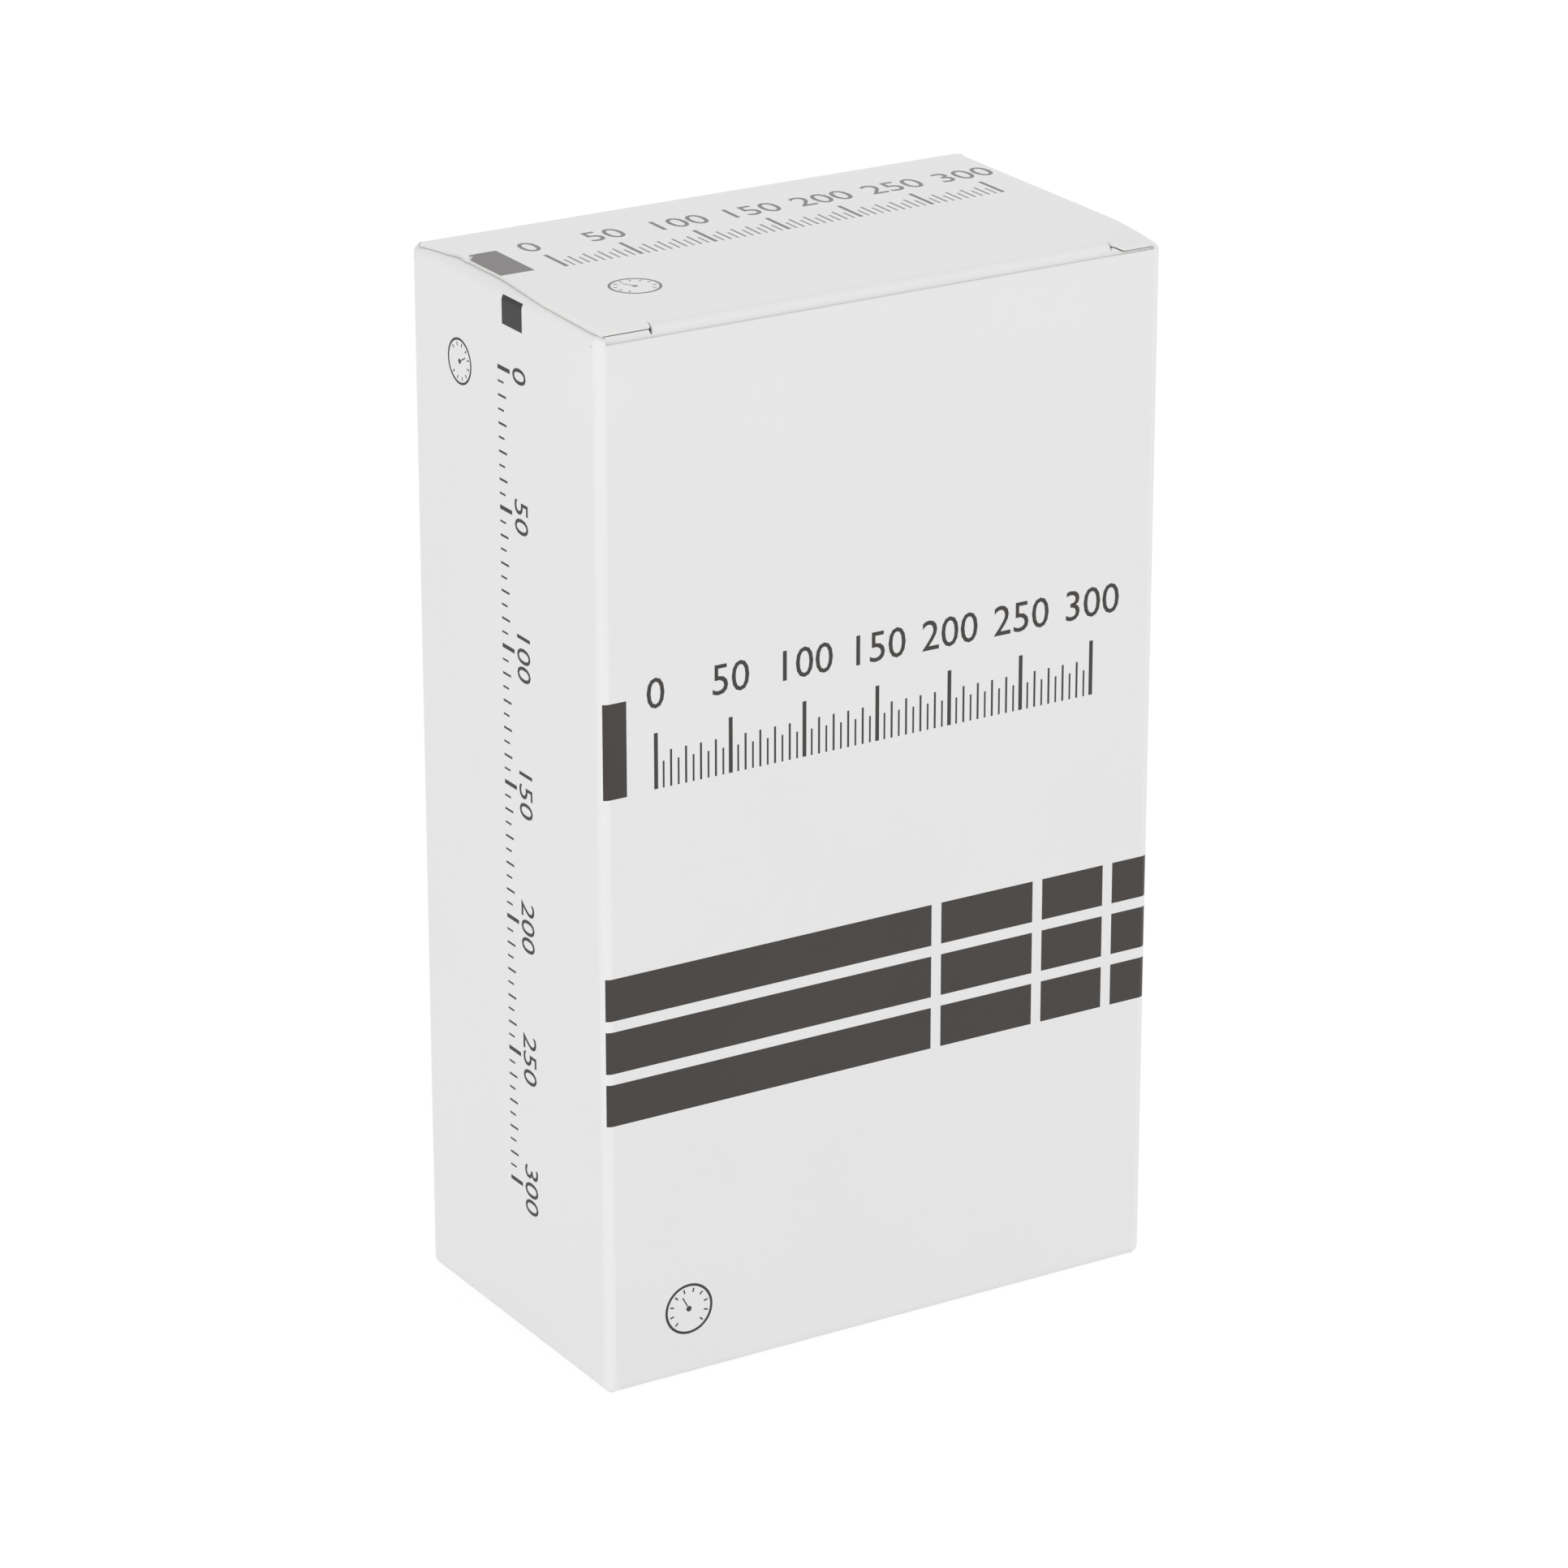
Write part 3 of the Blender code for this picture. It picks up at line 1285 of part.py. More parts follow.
def build():
    clear_scene()
    board = paint("white_board", (0.80, 0.80, 0.80), 0.45)
    make_sleeve(board)
    make_lid(board)
    make_dust_flap("dust_flap_left", -1, board)
    make_dust_flap("dust_flap_right", 1, board)
    make_bottom(board)
    cloth = paint("navy_nylon", (0.020, 0.030, 0.075), 0.75)
    lining = paint("grey_nylon", (0.10, 0.11, 0.14), 0.80)
    rubber = paint("black_rubber", (0.016, 0.016, 0.017), 0.60)
    pile = paint("grey_pile", (0.06, 0.065, 0.075), 0.95)
    chrome = paint("chrome", (0.62, 0.62, 0.63), 0.12, 1.0)
    brass = paint("brass", (0.55, 0.40, 0.16), 0.30, 1.0)
    enamel = paint("black_enamel", (0.02, 0.02, 0.022), 0.35)
    glass = paint("clear_lens", (0.80, 0.83, 0.84), 0.05)
    make_cuff(cloth, lining, rubber, pile)
    make_port("bladder_port_front", ROLL_TURNS - PORT_TURNS_BACK, rubber)
    make_port("bladder_port_side", ROLL_TURNS - PORT_TURNS_BACK + PORT_TURNS_APART, rubber)
    make_case(enamel, chrome, glass, rubber)
    make_clip(chrome)
    make_capsule(brass, chrome)
    make_sector(brass)
    make_pointer(chrome, enamel, brass)
    make_plates(brass)
    make_rocker(chrome)
    make_stem(chrome)
    make_bulb(rubber)
    make_intake(chrome)
    make_release_valve(chrome, rubber)
    make_hoses(rubber)


build()
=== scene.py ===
"""Looks of the boxed aneroid blood pressure kit.

A white folded carton with charcoal print holds a rolled cuff on end, a dial gauge on top of it, a
squeeze bulb with its valves, and two hoses. Metres, +Z up, the wide front panel facing -Y.
"""

import math

import bmesh
import bpy
import numpy as np
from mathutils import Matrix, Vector


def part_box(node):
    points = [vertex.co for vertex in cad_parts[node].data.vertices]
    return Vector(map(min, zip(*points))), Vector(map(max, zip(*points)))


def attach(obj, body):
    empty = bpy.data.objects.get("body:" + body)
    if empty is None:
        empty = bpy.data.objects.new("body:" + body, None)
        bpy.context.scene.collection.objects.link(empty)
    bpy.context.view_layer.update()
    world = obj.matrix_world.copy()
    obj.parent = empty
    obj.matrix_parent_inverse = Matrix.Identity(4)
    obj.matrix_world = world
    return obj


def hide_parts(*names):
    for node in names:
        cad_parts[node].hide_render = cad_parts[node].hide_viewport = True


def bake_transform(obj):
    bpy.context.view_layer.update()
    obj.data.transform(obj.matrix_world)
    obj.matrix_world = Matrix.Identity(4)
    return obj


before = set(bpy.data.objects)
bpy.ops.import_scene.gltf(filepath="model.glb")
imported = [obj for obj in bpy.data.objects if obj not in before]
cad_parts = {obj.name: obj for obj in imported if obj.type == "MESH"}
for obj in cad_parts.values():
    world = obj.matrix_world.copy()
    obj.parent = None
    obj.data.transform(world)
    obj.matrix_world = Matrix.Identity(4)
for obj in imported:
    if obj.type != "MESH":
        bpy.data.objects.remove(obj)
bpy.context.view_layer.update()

# Carton sizes. HAIR is a step just wide enough to keep two lines apart
HALF_WIDTH, HALF_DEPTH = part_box("carton_sleeve")[1][:2]
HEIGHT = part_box("lid_panel")[1][2]
WIDTH, DEPTH = 2 * HALF_WIDTH, 2 * HALF_DEPTH
HAIR = 0.0001
BOARD, GAP, FOLD, LEAD = 0.0006, 0.0003, 0.0018, 0.0004
LAP, LAP_MARGIN, LAP_SET = 0.0140, 0.0040, BOARD + GAP
FRONT_EDGE_DROP, EDGE_ROWS = 0.0024, 0.0038
FOLD_STEPS, PANEL_STEPS, EDGE_STEPS, LEVEL_STEPS = 13, 26, 12, 38
BOW = SAG = 0.00016

# Lid, with a notch at each end of its front fold and its right front corner pressed down, and the
# flap that tucks in
SIDE_PLAY = 0.0015
LID_HALF = HALF_WIDTH - SIDE_PLAY
SLIT = 0.0095
LID_EDGE = LID_HALF - SLIT
LEFT_NOTCH, RIGHT_NOTCH = 0.0008, 0.0003
LID_FRONT = (LEFT_NOTCH - LID_EDGE, LID_EDGE - RIGHT_NOTCH)
EAR_STEPS, LID_STEPS, LID_ROWS = 17, 49, 57
LID_FOLD_EAR = 0.0008
DROOP, DROOP_WIDTH, DROOP_START, DROOP_LENGTH = 0.0012, 0.0032, 0.018, 0.016
TEAR, TEAR_PEAK, TEAR_PLACE, TEAR_WIDTH = 0.00006, 0.00040, 0.0215, 0.0035
TUCK_FACE = HALF_DEPTH - BOARD - 0.00006
TUCK_HALF = HALF_WIDTH - FOLD - HAIR
TUCK_FOLD, TUCK_STRAIGHT, TUCK_LEAN = 0.0015, 0.0008, math.radians(9.0)
TUCK_LENGTH, TUCK_TAPER, TUCK_CORNER = 0.0140, 0.0060, 0.0040
SHOULDER_RISE, SHOULDER_OUT, SHOULDER_DEPTH = 0.00105, 0.00026, 0.0016
SHOULDER_END, TUCK_END = 0.0012, 0.0010

# Places from the lid's front to its back, and how far in from the carton's side its left edge
# lies there, in millimetres
LID_SET_IN = np.array([(-35, -30, -12, 6, 22.5, 32.8), (0.9, 0.9, 1.5, 3.4, 3.4, 1)]) / 1000

# Side flaps under the lid, and the four flaps of the bottom
DUST_TOP = HEIGHT - BOARD - HAIR
DUST_LENGTH, DUST_HALF, DUST_FOLD_END = 0.0450, HALF_DEPTH - SIDE_PLAY, HALF_DEPTH - FOLD
DUST_BACK_SLOPE, DUST_SLOPE_START = 0.65, 0.0010
DUST_FRONT_TAPER, DUST_CORNER = 0.0035, 0.0060
DUST_STEPS, DUST_COLUMNS, SECTION_COLUMNS = 61, 33, 41
FLAP_LENGTH, FLAP_TAPER, FLAP_RAMP, FLAP_LIFT = 0.0400, 0.0050, 0.0042, 0.00004
INNER_FLAP, OUTER_FLAP = 0.0480, 0.0062
PLAIN_SHEET = (0.06, -0.1)

# Print, as places on the flat board: along from the front's left fold, and up from the foot
LID_ROW = 0.300
WALL_SHEET_TOP = LID_ROW - 0.05
BAR = (0.0, 0.0053, 0.1209, 0.1396)
STRIPE_FOOT, STRIPE_PITCH, STRIPE, STRIPES = 0.0556, 0.01066, 0.00845, 3
BLOCK_GAPS = ((0.0720, 0.0742), (0.0950, 0.0972), (0.1112, 0.1134))
SCALE_START, SCALE_END = 0.0115, 0.1075
SCALE_FOOT, SCALE_TICK = 0.1212, 0.0110
SCALE_NUMBER_FOOT, SCALE_NUMBER = 0.1370, 0.0060
SIDE_BAR = (WIDTH + 0.0350, WIDTH + 0.0425)
SIDE_BAR_LEVELS = (0.2031, 0.2087)
SIDE_SCALE_FOOT, SIDE_SCALE_TICK = WIDTH + 0.0330, 0.0046
SIDE_SCALE_TOP, SIDE_SCALE_END = 0.1945, 0.0315
SIDE_NUMBER_FOOT, SIDE_NUMBER = 0.0056, 0.0050
LID_BAR = (0.0030, 0.0106, LID_ROW + 0.0413, LID_ROW + 0.0562)
LID_BAR_TEAR, LID_BAR_TEAR_RATE = 0.0050, 250.0
LID_SCALE_START, LID_SCALE_END = 0.0170, 0.1130
LID_SCALE_FOOT, LID_SCALE_TICK = LID_ROW + 0.0405, 0.0085
LID_NUMBER_FOOT = 0.0520
SCALE_TOP_VALUE, NUMBER_STEP = 300, 50
# Step of each kind of tick, its share of the tallest and its breadth
SCALE_TICKS = ((5, 0.48, 0.00040), (10, 0.66, 0.00046), (50, 1.0, 0.00085))
# Radius of each small dial sign and its place
WIDE_SIGN = (0.0052, (0.0178, 0.0140))
SIDE_SIGN = (0.0045, (0.0030, -0.0145))
LID_SIGN = (0.0050, (0.0212, 0.0230))
FIGURE_SHARE = 0.70
INK_LIFT = 0.00002

# Roll of the cuff
ROLL_LOW, ROLL_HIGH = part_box("cuff_outer_cloth")
CLOTH, BLADDER, PATCH = 0.0009, 0.0012, 0.0008
CORE_RADIUS, ROLL_WALL_GAP, RUFFLE = 0.0070, 0.0006, 0.00006
BARE_TURNS, ROLL_TURNS, ROLL_END_ANGLE = 2.4, 5.5, math.radians(105.0)
BARE_PITCH = 2 * CLOTH + 2 * GAP
FULL_PITCH = BARE_PITCH + BLADDER + GAP
ROLL_RADIUS = CORE_RADIUS + BARE_TURNS * BARE_PITCH + (ROLL_TURNS - BARE_TURNS) * FULL_PITCH
ROLL_X = ROLL_RADIUS + ROLL_WALL_GAP + BOARD - HALF_WIDTH
ROLL_TOP = ROLL_HIGH[2]
STEPS_PER_TURN, FEWEST_STEPS = 64, 24
BLADDER_TURNS, BLADDER_MARGIN = (3.4, 5.15), 0.006
PATCH_TURNS, PATCH_MARGIN = (ROLL_TURNS - 0.98, ROLL_TURNS - 0.62), 0.008
TAB_TURNS, TAB_WIDTH = (ROLL_TURNS - 0.96, ROLL_TURNS - 0.79), 0.060
PORT_TURNS, PORT_STEPS = (5.0, 5.066), 24

# Gauge, bulb and hoses
GAUGE_X, GAUGE_Y, CASE_BASE = ROLL_X, 0.0075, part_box("gauge_case")[0][2]
DIAL_TOP, HAND_LEVEL, HUB_BASE = 0.0177, 0.0188, 0.01845
ZERO_ANGLE, DIAL_STEP = -30.0, 20
DIAL_NUMBER, DIAL_NUMBER_RADIUS, DIAL_NUMBER_DROP = 0.0018, 0.0146, 0.0009
# Step of each kind of dial tick, the radius where it starts and its breadth
DIAL_TICKS = ((2, 0.0187, 0.00016), (10, 0.0179, 0.00022), (20, 0.0172, 0.00034))
DIAL_EDGE, DIAL_RIM, DIAL_ENDS = 0.0200, (0.0199, 0.0201), (-0.6, 300.6)
BULB_LOW, BULB_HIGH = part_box("inflation_bulb")
BULB_X, BULB_BASE = (BULB_LOW[0] + BULB_HIGH[0]) / 2, BULB_LOW[2]
BULB_LENGTH, BULB_NECK, BULB_NECK_RADIUS = 0.088, 0.009, 0.0075
BULB_SWELL, BULB_WALL, BULB_BORE = 0.0160, 0.0020, 0.0049
RIM, RIM_PLACE, RIM_WIDTH = 0.0006, 0.0012, 0.0010
SEAM, SEAM_WIDTH = 0.00012, 0.035
ROUND_STEPS = 96
SCREW_LEVEL = 0.1035
HOSE_RADIUS, HOSE_BORE, HOSE_GRIP = 0.0033, 0.0018, 0.0115
HOSE_STEP, HOSE_SIDES, HOSE_EASING, EASING_RAMP = 0.0015, 24, 40, 0.004
HOSE_SWELL, SWELL_RAMP, HOSE_NIP, NIP_RAMP = 0.05, 0.002, 0.10, 0.0004
FIRST_SIDE = (0.31, 0.82, 0.48)
STEM_TIP, STEM_LEVEL, PORT_TIP, SPOUT = -0.01005, 0.1560, 0.1498, 0.1123
LOOP_X, LOOP_RADIUS, LOOP_TOP, LOOP_FALL = 0.0320, 0.0230, 0.1500, 0.0460
LOOP_START, LOOP_SWEEP, LOOP_KNOTS = 110.0, 590.0, 16

# Colours
WHITE = ((0.782, 0.782, 0.784), (0.806, 0.806, 0.804))
# Painted highlight: the paler white of a band along each upright fold
FOLD_HIGHLIGHT = (0.86, 0.86, 0.86)
INSIDE = ((0.66, 0.645, 0.615), (0.76, 0.745, 0.715))
CUT = ((0.72, 0.71, 0.69), (0.86, 0.855, 0.84))
INK = ((0.042, 0.0365, 0.033), (0.050, 0.0435, 0.040))
# Painted shade: the ink on the side panels is a darker copy of INK, to make up for how light falls on
# the sides
SIDE_INK_PAINTED_SHADE = ((0.006, 0.005, 0.0045), (0.008, 0.007, 0.0065))
NAVY, GREY, PILE = (0.030, 0.045, 0.115), (0.10, 0.11, 0.14), (0.06, 0.065, 0.075)
PAINT_WHITE, PAINT_BLACK = (0.80, 0.80, 0.78), (0.02, 0.02, 0.022)
COATING_IOR = 1.41

# Camera, fitted to the carton's corners, and light: place, aim and power of each lamp
CAMERA_AIM, CAMERA_DISTANCE, CAMERA_LENS = Vector((-0.0012, -0.0009, 0.1013)), 1.2199, 145.3
CAMERA_AZIMUTH, CAMERA_ELEVATION = math.radians(31.41), math.radians(21.07)
LAMPS = {
    "back_lamp": ((1.07, 1.75, 1.00), (0, 0, 0.2), 2.2),
    "front_lamp": ((0.4, -1.7, 0.7), (0, 0, 0.1), 3.6),
    "left_lamp": ((-1.7, -0.4, 0.4), (0, 0, 0.08), 4.4),
}
LAMP_SIZE = 1.2
WORLD_LIGHT = 0.84
FLOOR_REACH = 4.0
FLOOR_GLOW, FLOOR_SHOWN, FLOOR_UNSEEN = 1.04, 0.56, 0.30


def operator(operation, swapped=False):
    """A method that adds one Math node, with its two values the other way round if swapped."""

    def method(self, *others):
        values = (self, *others)
        return self.math(operation, *(values[::-1] if swapped else values))

    return method


class Socket:
    """A shader socket. Sums on it add Math nodes, and add() makes any other node."""

    def __init__(self, tree, socket=None):
        self.tree = tree
        self.socket = socket

    def add(self, kind, settings=None, inputs=None, output=0):
        node = self.tree.nodes.new(kind)
        for name, value in (settings or {}).items():
            setattr(node, name, value)
        for key, value in (inputs or {}).items():
            if isinstance(value, Socket):
                self.tree.links.new(value.socket, node.inputs[key])
            else:
                node.inputs[key].default_value = value
        return Socket(self.tree, node.outputs[output])

    def math(self, operation, *values):
        return self.add("ShaderNodeMath", {"operation": operation}, dict(enumerate(values)))

    __add__ = __radd__ = operator("ADD")
    __sub__, __rsub__ = operator("SUBTRACT"), operator("SUBTRACT", swapped=True)
    __mul__ = __rmul__ = operator("MULTIPLY")
    __truediv__ = operator("DIVIDE")
    __mod__ = operator("FLOORED_MODULO")
    __abs__ = operator("ABSOLUTE")
    __lt__, __gt__ = operator("LESS_THAN"), operator("GREATER_THAN")
    most = operator("MAXIMUM")

    def clamp(self):
        return self.add("ShaderNodeClamp", None, {"Value": self})

    def between(self, low, high):
        """1 from low to high, else 0."""
        return abs(self - (low + high) / 2) < (high - low) / 2

    def off_step(self, step):
        """How far this is from the nearest whole number of steps."""
        return abs((self + step / 2) % step - step / 2)

    def mix(self, first, second):
        """A colour from first, where this is 0, to second, where it is 1."""
        values = {0: self, 6: as_colour(first), 7: as_colour(second)}
        return self.add("ShaderNodeMix", {"data_type": "RGBA"}, values, output=2)

    def parts(self):
        """The three numbers of a vector."""
        split = self.add("ShaderNodeSeparateXYZ", None, {0: self})
        return [Socket(self.tree, out) for out in split.socket.node.outputs]

    def noise(self, scale, detail=2.0, roughness=0.5):
        """Even noise on this place, from 0 to 1."""
        values = {"Vector": self, "Scale": scale, "Detail": detail, "Roughness": roughness}
        return self.add("ShaderNodeTexNoise", None, values)

    def bump(self, height, strength, distance):
        values = {"Height": height, "Strength": strength, "Distance": distance}
        return self.add("ShaderNodeBump", None, values)


def as_colour(value):
    return value if isinstance(value, Socket) else (*value, 1.0)


def base_skin(name, **constants):
    """A Principled material with its constant values on its own sockets: the material and its tree."""
    skin = bpy.data.materials.new(name)
    skin.use_nodes = True
    shader = skin.node_tree.nodes["Principled BSDF"]
    for key, value in constants.items():
        socket = shader.inputs[key.replace("_", " ")]
        socket.default_value = as_colour(value) if isinstance(value, tuple) else value
    return skin, Socket(skin.node_tree)


def wire(skin, **links):
    """Joins sockets to the material's Principled shader."""
    shader = skin.node_tree.nodes["Principled BSDF"]
    for key, value in links.items():
        skin.node_tree.links.new(value.socket, shader.inputs[key.replace("_", " ")])
    return skin


def object_place(tree):
    return tree.add("ShaderNodeTexCoord", output=3)


# Meshes


def join(*numbers):
    """Points, or places on the flat sheet, from their numbers one by one."""
    return np.stack(np.broadcast_arrays(*numbers), axis=-1)


def unit(value):
    """The value, kept from 0 to 1."""
    return np.clip(value, 0, 1)


def ease(value):
    """A smooth rise, 3 v^2 - 2 v^3, from 0 at 0 to 1 at 1."""
    value = unit(value)
    return value**2 * (3 - 2 * value)


def weld(mesh, reach, outward=False):
    """Joins points within reach of each other, and turns the faces outward if asked."""
    shape = bmesh.new()
    shape.from_mesh(mesh)
    bmesh.ops.remove_doubles(shape, verts=shape.verts, dist=reach)
    if outward:
        bmesh.ops.recalc_face_normals(shape, faces=shape.faces)
    shape.to_mesh(mesh)
    shape.free()


def in_scene(name, data):
    item = bpy.data.objects.new(name, data)
    bpy.context.scene.collection.objects.link(item)
    return item


def as_piece(name, mesh, body, skin, stands_for=()):
    """Puts a mesh in the scene: it rides on a body, or keeps its place in the world when given a joint
    instead.
    """
    mesh.materials.append(skin)
    item = in_scene(name, mesh)
    if isinstance(body, str):
        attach(item, body)
    else:
        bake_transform(item)
    if stands_for:
        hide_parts(*stands_for)
    return item


def volume(points, quads):
    """Signed volume inside closed quads, each taken as two triangles."""
    a, b, c, d = (points[quads[:, k]] for k in range(4))
    return ((np.cross(a, b) * c).sum() + (np.cross(a, c) * d).sum()) / 6


def solid(name, points, quads, body, skin, stands_for=(), marks=None, sides=None, sharp=38.0):
    """A closed mesh of quads, faces turned outward, doubles welded, that rides on a body.

    marks gives each point its place on the flat sheet, and sides tells each face's side of it:
    1 outer, 0 inner, 0.5 a cut edge. Both go into the attribute "sheet" of the face corners.
    """
    if volume(points, quads) < 0:
        quads = quads[:, ::-1]
    mesh = bpy.data.meshes.new(name)
    mesh.from_pydata(points.tolist(), [], quads.tolist())
    if marks is not None:
        corners = np.concatenate([marks[quads.ravel()], np.repeat(sides, 4)[:, None]], axis=1)
        layer = mesh.attributes.new("sheet", "FLOAT_VECTOR", "CORNER")
        layer.data.foreach_set("vector", corners.astype(np.float32).ravel())
    weld(mesh, 1e-7)
    mesh.shade_smooth()
    mesh.set_sharp_from_angle(angle=math.radians(sharp))
    return as_piece(name, mesh, body, skin, stands_for)


def quads_of(numbers):
    """Quads between neighbours in a grid of point numbers."""
    corners = numbers[:-1, :-1], numbers[1:, :-1], numbers[1:, 1:], numbers[:-1, 1:]
    return np.stack([corner.ravel() for corner in corners], axis=1)


def shell(name, outer, inner, body, skin, slot, stands_for=(), marks=None, wrap=False):
    """A wall between two equal grids of points, closed along its edges.

    Points (i, j) of both grids face each other through the wall. With wrap the first direction
    comes back to its start, as round a tube, and only the two ends get an edge.
    """
    rows, columns = outer.shape[:2]
    front = np.arange(rows * columns).reshape(rows, columns)
    back = front + rows * columns
    if wrap:
        front, back = (np.concatenate([grid, grid[:1]]) for grid in (front, back))
    edges = [(front[:, 0], back[:, 0]), (back[:, -1], front[:, -1])]
    if not wrap:
        edges += [(back[0], front[0]), (front[-1], back[-1])]
    rims = [quads_of(np.stack(pair, axis=1)) for pair in edges]
    faces = [quads_of(front), quads_of(back)[:, ::-1], *rims]
    sides = [1.0, 0.0] + [0.5] * len(rims)
    sides = np.concatenate([np.full(len(group), side) for group, side in zip(faces, sides)])
    points = np.concatenate([outer.reshape(-1, 3), inner.reshape(-1, 3)])
    if marks is not None:
        marks = np.tile(marks.reshape(-1, 2), (2, 1))
    return solid(name, points, np.concatenate(faces), body, skin, stands_for, marks, sides)


def surface(name, grid, body, skin, stands_for=(), wrap=(True, False), sharp=38.0):
    """One grid of points closed on itself: each wrapped direction joins up, others end in poles."""
    rows, columns = grid.shape[:2]
    numbers = np.arange(rows * columns).reshape(rows, columns)
    if wrap[0]:
        numbers = np.concatenate([numbers, numbers[:1]])
    if wrap[1]:
        numbers = np.concatenate([numbers, numbers[:, :1]], axis=1)
    points = grid.reshape(-1, 3)
    return solid(name, points, quads_of(numbers), body, skin, stands_for, sharp=sharp)


def grid_of(along, low, high, count):
    """Rows at the given places, each with places from its own low to its own high."""
    low, high = (np.broadcast_to(end, len(along))[:, None] for end in (low, high))
    share = np.linspace(0.0, 1.0, count)
    return np.repeat(along[:, None], count, axis=1), low + (high - low) * share


def ripple(*values):
    """A smooth uneven wave from -1 to 1, from sines of unlike length."""
    total = 0.0
    for k, value in enumerate(values):
        total = total + np.sin(value * 1.0 + k) + 0.6 * np.sin(value * 2.3 + 1.7)
        total = total + 0.4 * np.sin(value * 5.1 + 0.4)
    return total / (2.0 * len(values))


# Carton: its panels round from the back by the left, front and right to the glue lap

PANEL_START = np.array([-(DEPTH + WIDTH), -DEPTH, 0.0, WIDTH, WIDTH + DEPTH - LAP_SET])
PANEL_LENGTH = np.array([WIDTH, DEPTH, WIDTH, DEPTH - LAP_SET, WIDTH])
PANEL_SIGN = np.array([(1, 1), (-1, 1), (-1, -1), (1, -1), (1, 1)])
PANEL_CORNER = PANEL_SIGN * (HALF_WIDTH, HALF_DEPTH) - np.eye(5, 2, -4)[:, ::-1] * LAP_SET
PANEL_ALONG = np.array([(-1.0, 0.0), (0.0, -1.0), (1.0, 0.0), (0.0, 1.0), (-1.0, 0.0)])
PANEL_OUT = np.array([(0.0, 1.0), (-1.0, 0.0), (0.0, -1.0), (1.0, 0.0), (0.0, 1.0)])


def wall_place(s, height, inset):
    """A point on the walls: s along the board, its height, and how far in from the outer face.

    Panels are straight and bow in a little at their middle. Within one fold radius of a fold the
    point turns about the fold's centre, a quarter turn from one panel's face to the next.
    """
    panel = np.clip(np.searchsorted(PANEL_START, s, side="right") - 1, 0, 4)
    reach = s - PANEL_START[panel]
    share = unit(reach / PANEL_LENGTH[panel])
    bow = BOW * np.sin(np.pi * share) ** 2 * np.sin(np.pi * unit(height / HEIGHT))
    flat = PANEL_CORNER[panel] + PANEL_ALONG[panel] * reach[..., None]
    flat = flat - PANEL_OUT[panel] * (inset + bow)[..., None]
    fold = 1 + np.abs(s[..., None] - PANEL_START[1:]).argmin(axis=-1)
    turn = ((s - PANEL_START[fold] + FOLD) / (2 * FOLD) * np.pi / 2)[..., None]
    centre = PANEL_CORNER[fold] + (PANEL_ALONG[fold] - PANEL_OUT[fold]) * FOLD
    spoke = PANEL_OUT[fold - 1] * np.cos(turn) + PANEL_OUT[fold] * np.sin(turn)
    bent = centre + spoke * (FOLD - inset)[..., None]
    near = (np.abs(s - PANEL_START[fold]) < FOLD)[..., None]
    return np.concatenate([np.where(near, bent, flat), height[..., None]], axis=-1)


def make_walls(skin):
    """The sleeve: back, left, front and right panels and the glue lap, with their four folds.

    Each fold runs on a little past the panels' ends, and turns in there to a round corner of the
    carton: the way in is FOLD (1 - sqrt(1 - part^2)), with part from 0 where it starts to 1.
    """
    lap_end = WIDTH + DEPTH - LAP_SET + LAP
    folds = PANEL_START[1:]
    stops = [np.linspace(fold - FOLD, fold + FOLD, FOLD_STEPS) for fold in folds]
    stops += [folds - FOLD - HAIR, folds + FOLD + HAIR]
    flats = zip(PANEL_START + FOLD, [*(folds - FOLD), lap_end])
    stops += [np.linspace(low, high, PANEL_STEPS)[1:-1] for low, high in flats]
    stops += [np.array([PANEL_START[0] + FOLD, lap_end])]
    s = np.unique(np.concatenate(stops).round(7))
    panel = np.searchsorted(PANEL_START, s, side="right") - 1
    near = np.abs(s[:, None] - folds)
    corner, fold = near.min(axis=1) < FOLD + 1e-6, near.argmin(axis=1)
    back, side = HEIGHT - FOLD, DUST_TOP - FOLD
    tops = np.array([back, side, HEIGHT - FRONT_EDGE_DROP, side, HEIGHT - LAP_MARGIN])[panel]
    feet = np.array([FOLD, FOLD, FOLD, FOLD, LAP_MARGIN])[panel]
    crown = np.array([HEIGHT, DUST_TOP, DUST_TOP - DROOP, HEIGHT])[fold][:, None]
    turns_at = np.array([back, side, side, back])[fold][:, None]
    top = np.where(corner, crown[:, 0] - HAIR, tops)
    foot = np.where(corner, HAIR, feet)
    fine = np.linspace(0, EDGE_ROWS, EDGE_STEPS)
    middle = np.linspace(EDGE_ROWS, HEIGHT - EDGE_ROWS, LEVEL_STEPS)[1:-1]
    levels = np.concatenate([fine, middle, HEIGHT - fine[::-1]])
    along = np.repeat(s[:, None], len(levels), axis=1)
    height = np.clip(levels, foot[:, None], top[:, None])
    part = np.maximum(unit((height - turns_at) / (crown - turns_at)), unit(1 - height / FOLD))
    way_in = np.minimum(FOLD * (1 - np.sqrt(1 - part**2)), FOLD - BOARD - 2 * HAIR)
    way_in = np.where(corner[:, None], way_in, 0.0)
    outer = wall_place(along, height, way_in)
    inner = wall_place(along, height, way_in + BOARD)
    kept = np.clip(inner[..., 2], BOARD, crown - BOARD)
    inner[..., 2] = np.where(corner[:, None], kept, inner[..., 2])
    marks = join(along, height)
    shell("carton_walls", outer, inner, "carton", skin, "white_board", ["carton_sleeve"], marks)


def bend(centre, start, end, radius, steps=9, lead=LEAD):
    """A fold's section: outer and inner points on arcs about a centre, with short straight leads."""
    angle = np.linspace(start, end, steps)
    spoke = join(np.cos(angle), np.sin(angle))
    along = join(-np.sin(angle), np.cos(angle)) * np.sign(end - start)
    arcs = [np.array(centre) + spoke * reach for reach in (radius, radius - BOARD)]
    return [
        np.concatenate([arc[:1] - along[:1] * lead, arc, arc[-1:] + along[-1:] * lead])
        for arc in arcs
    ]


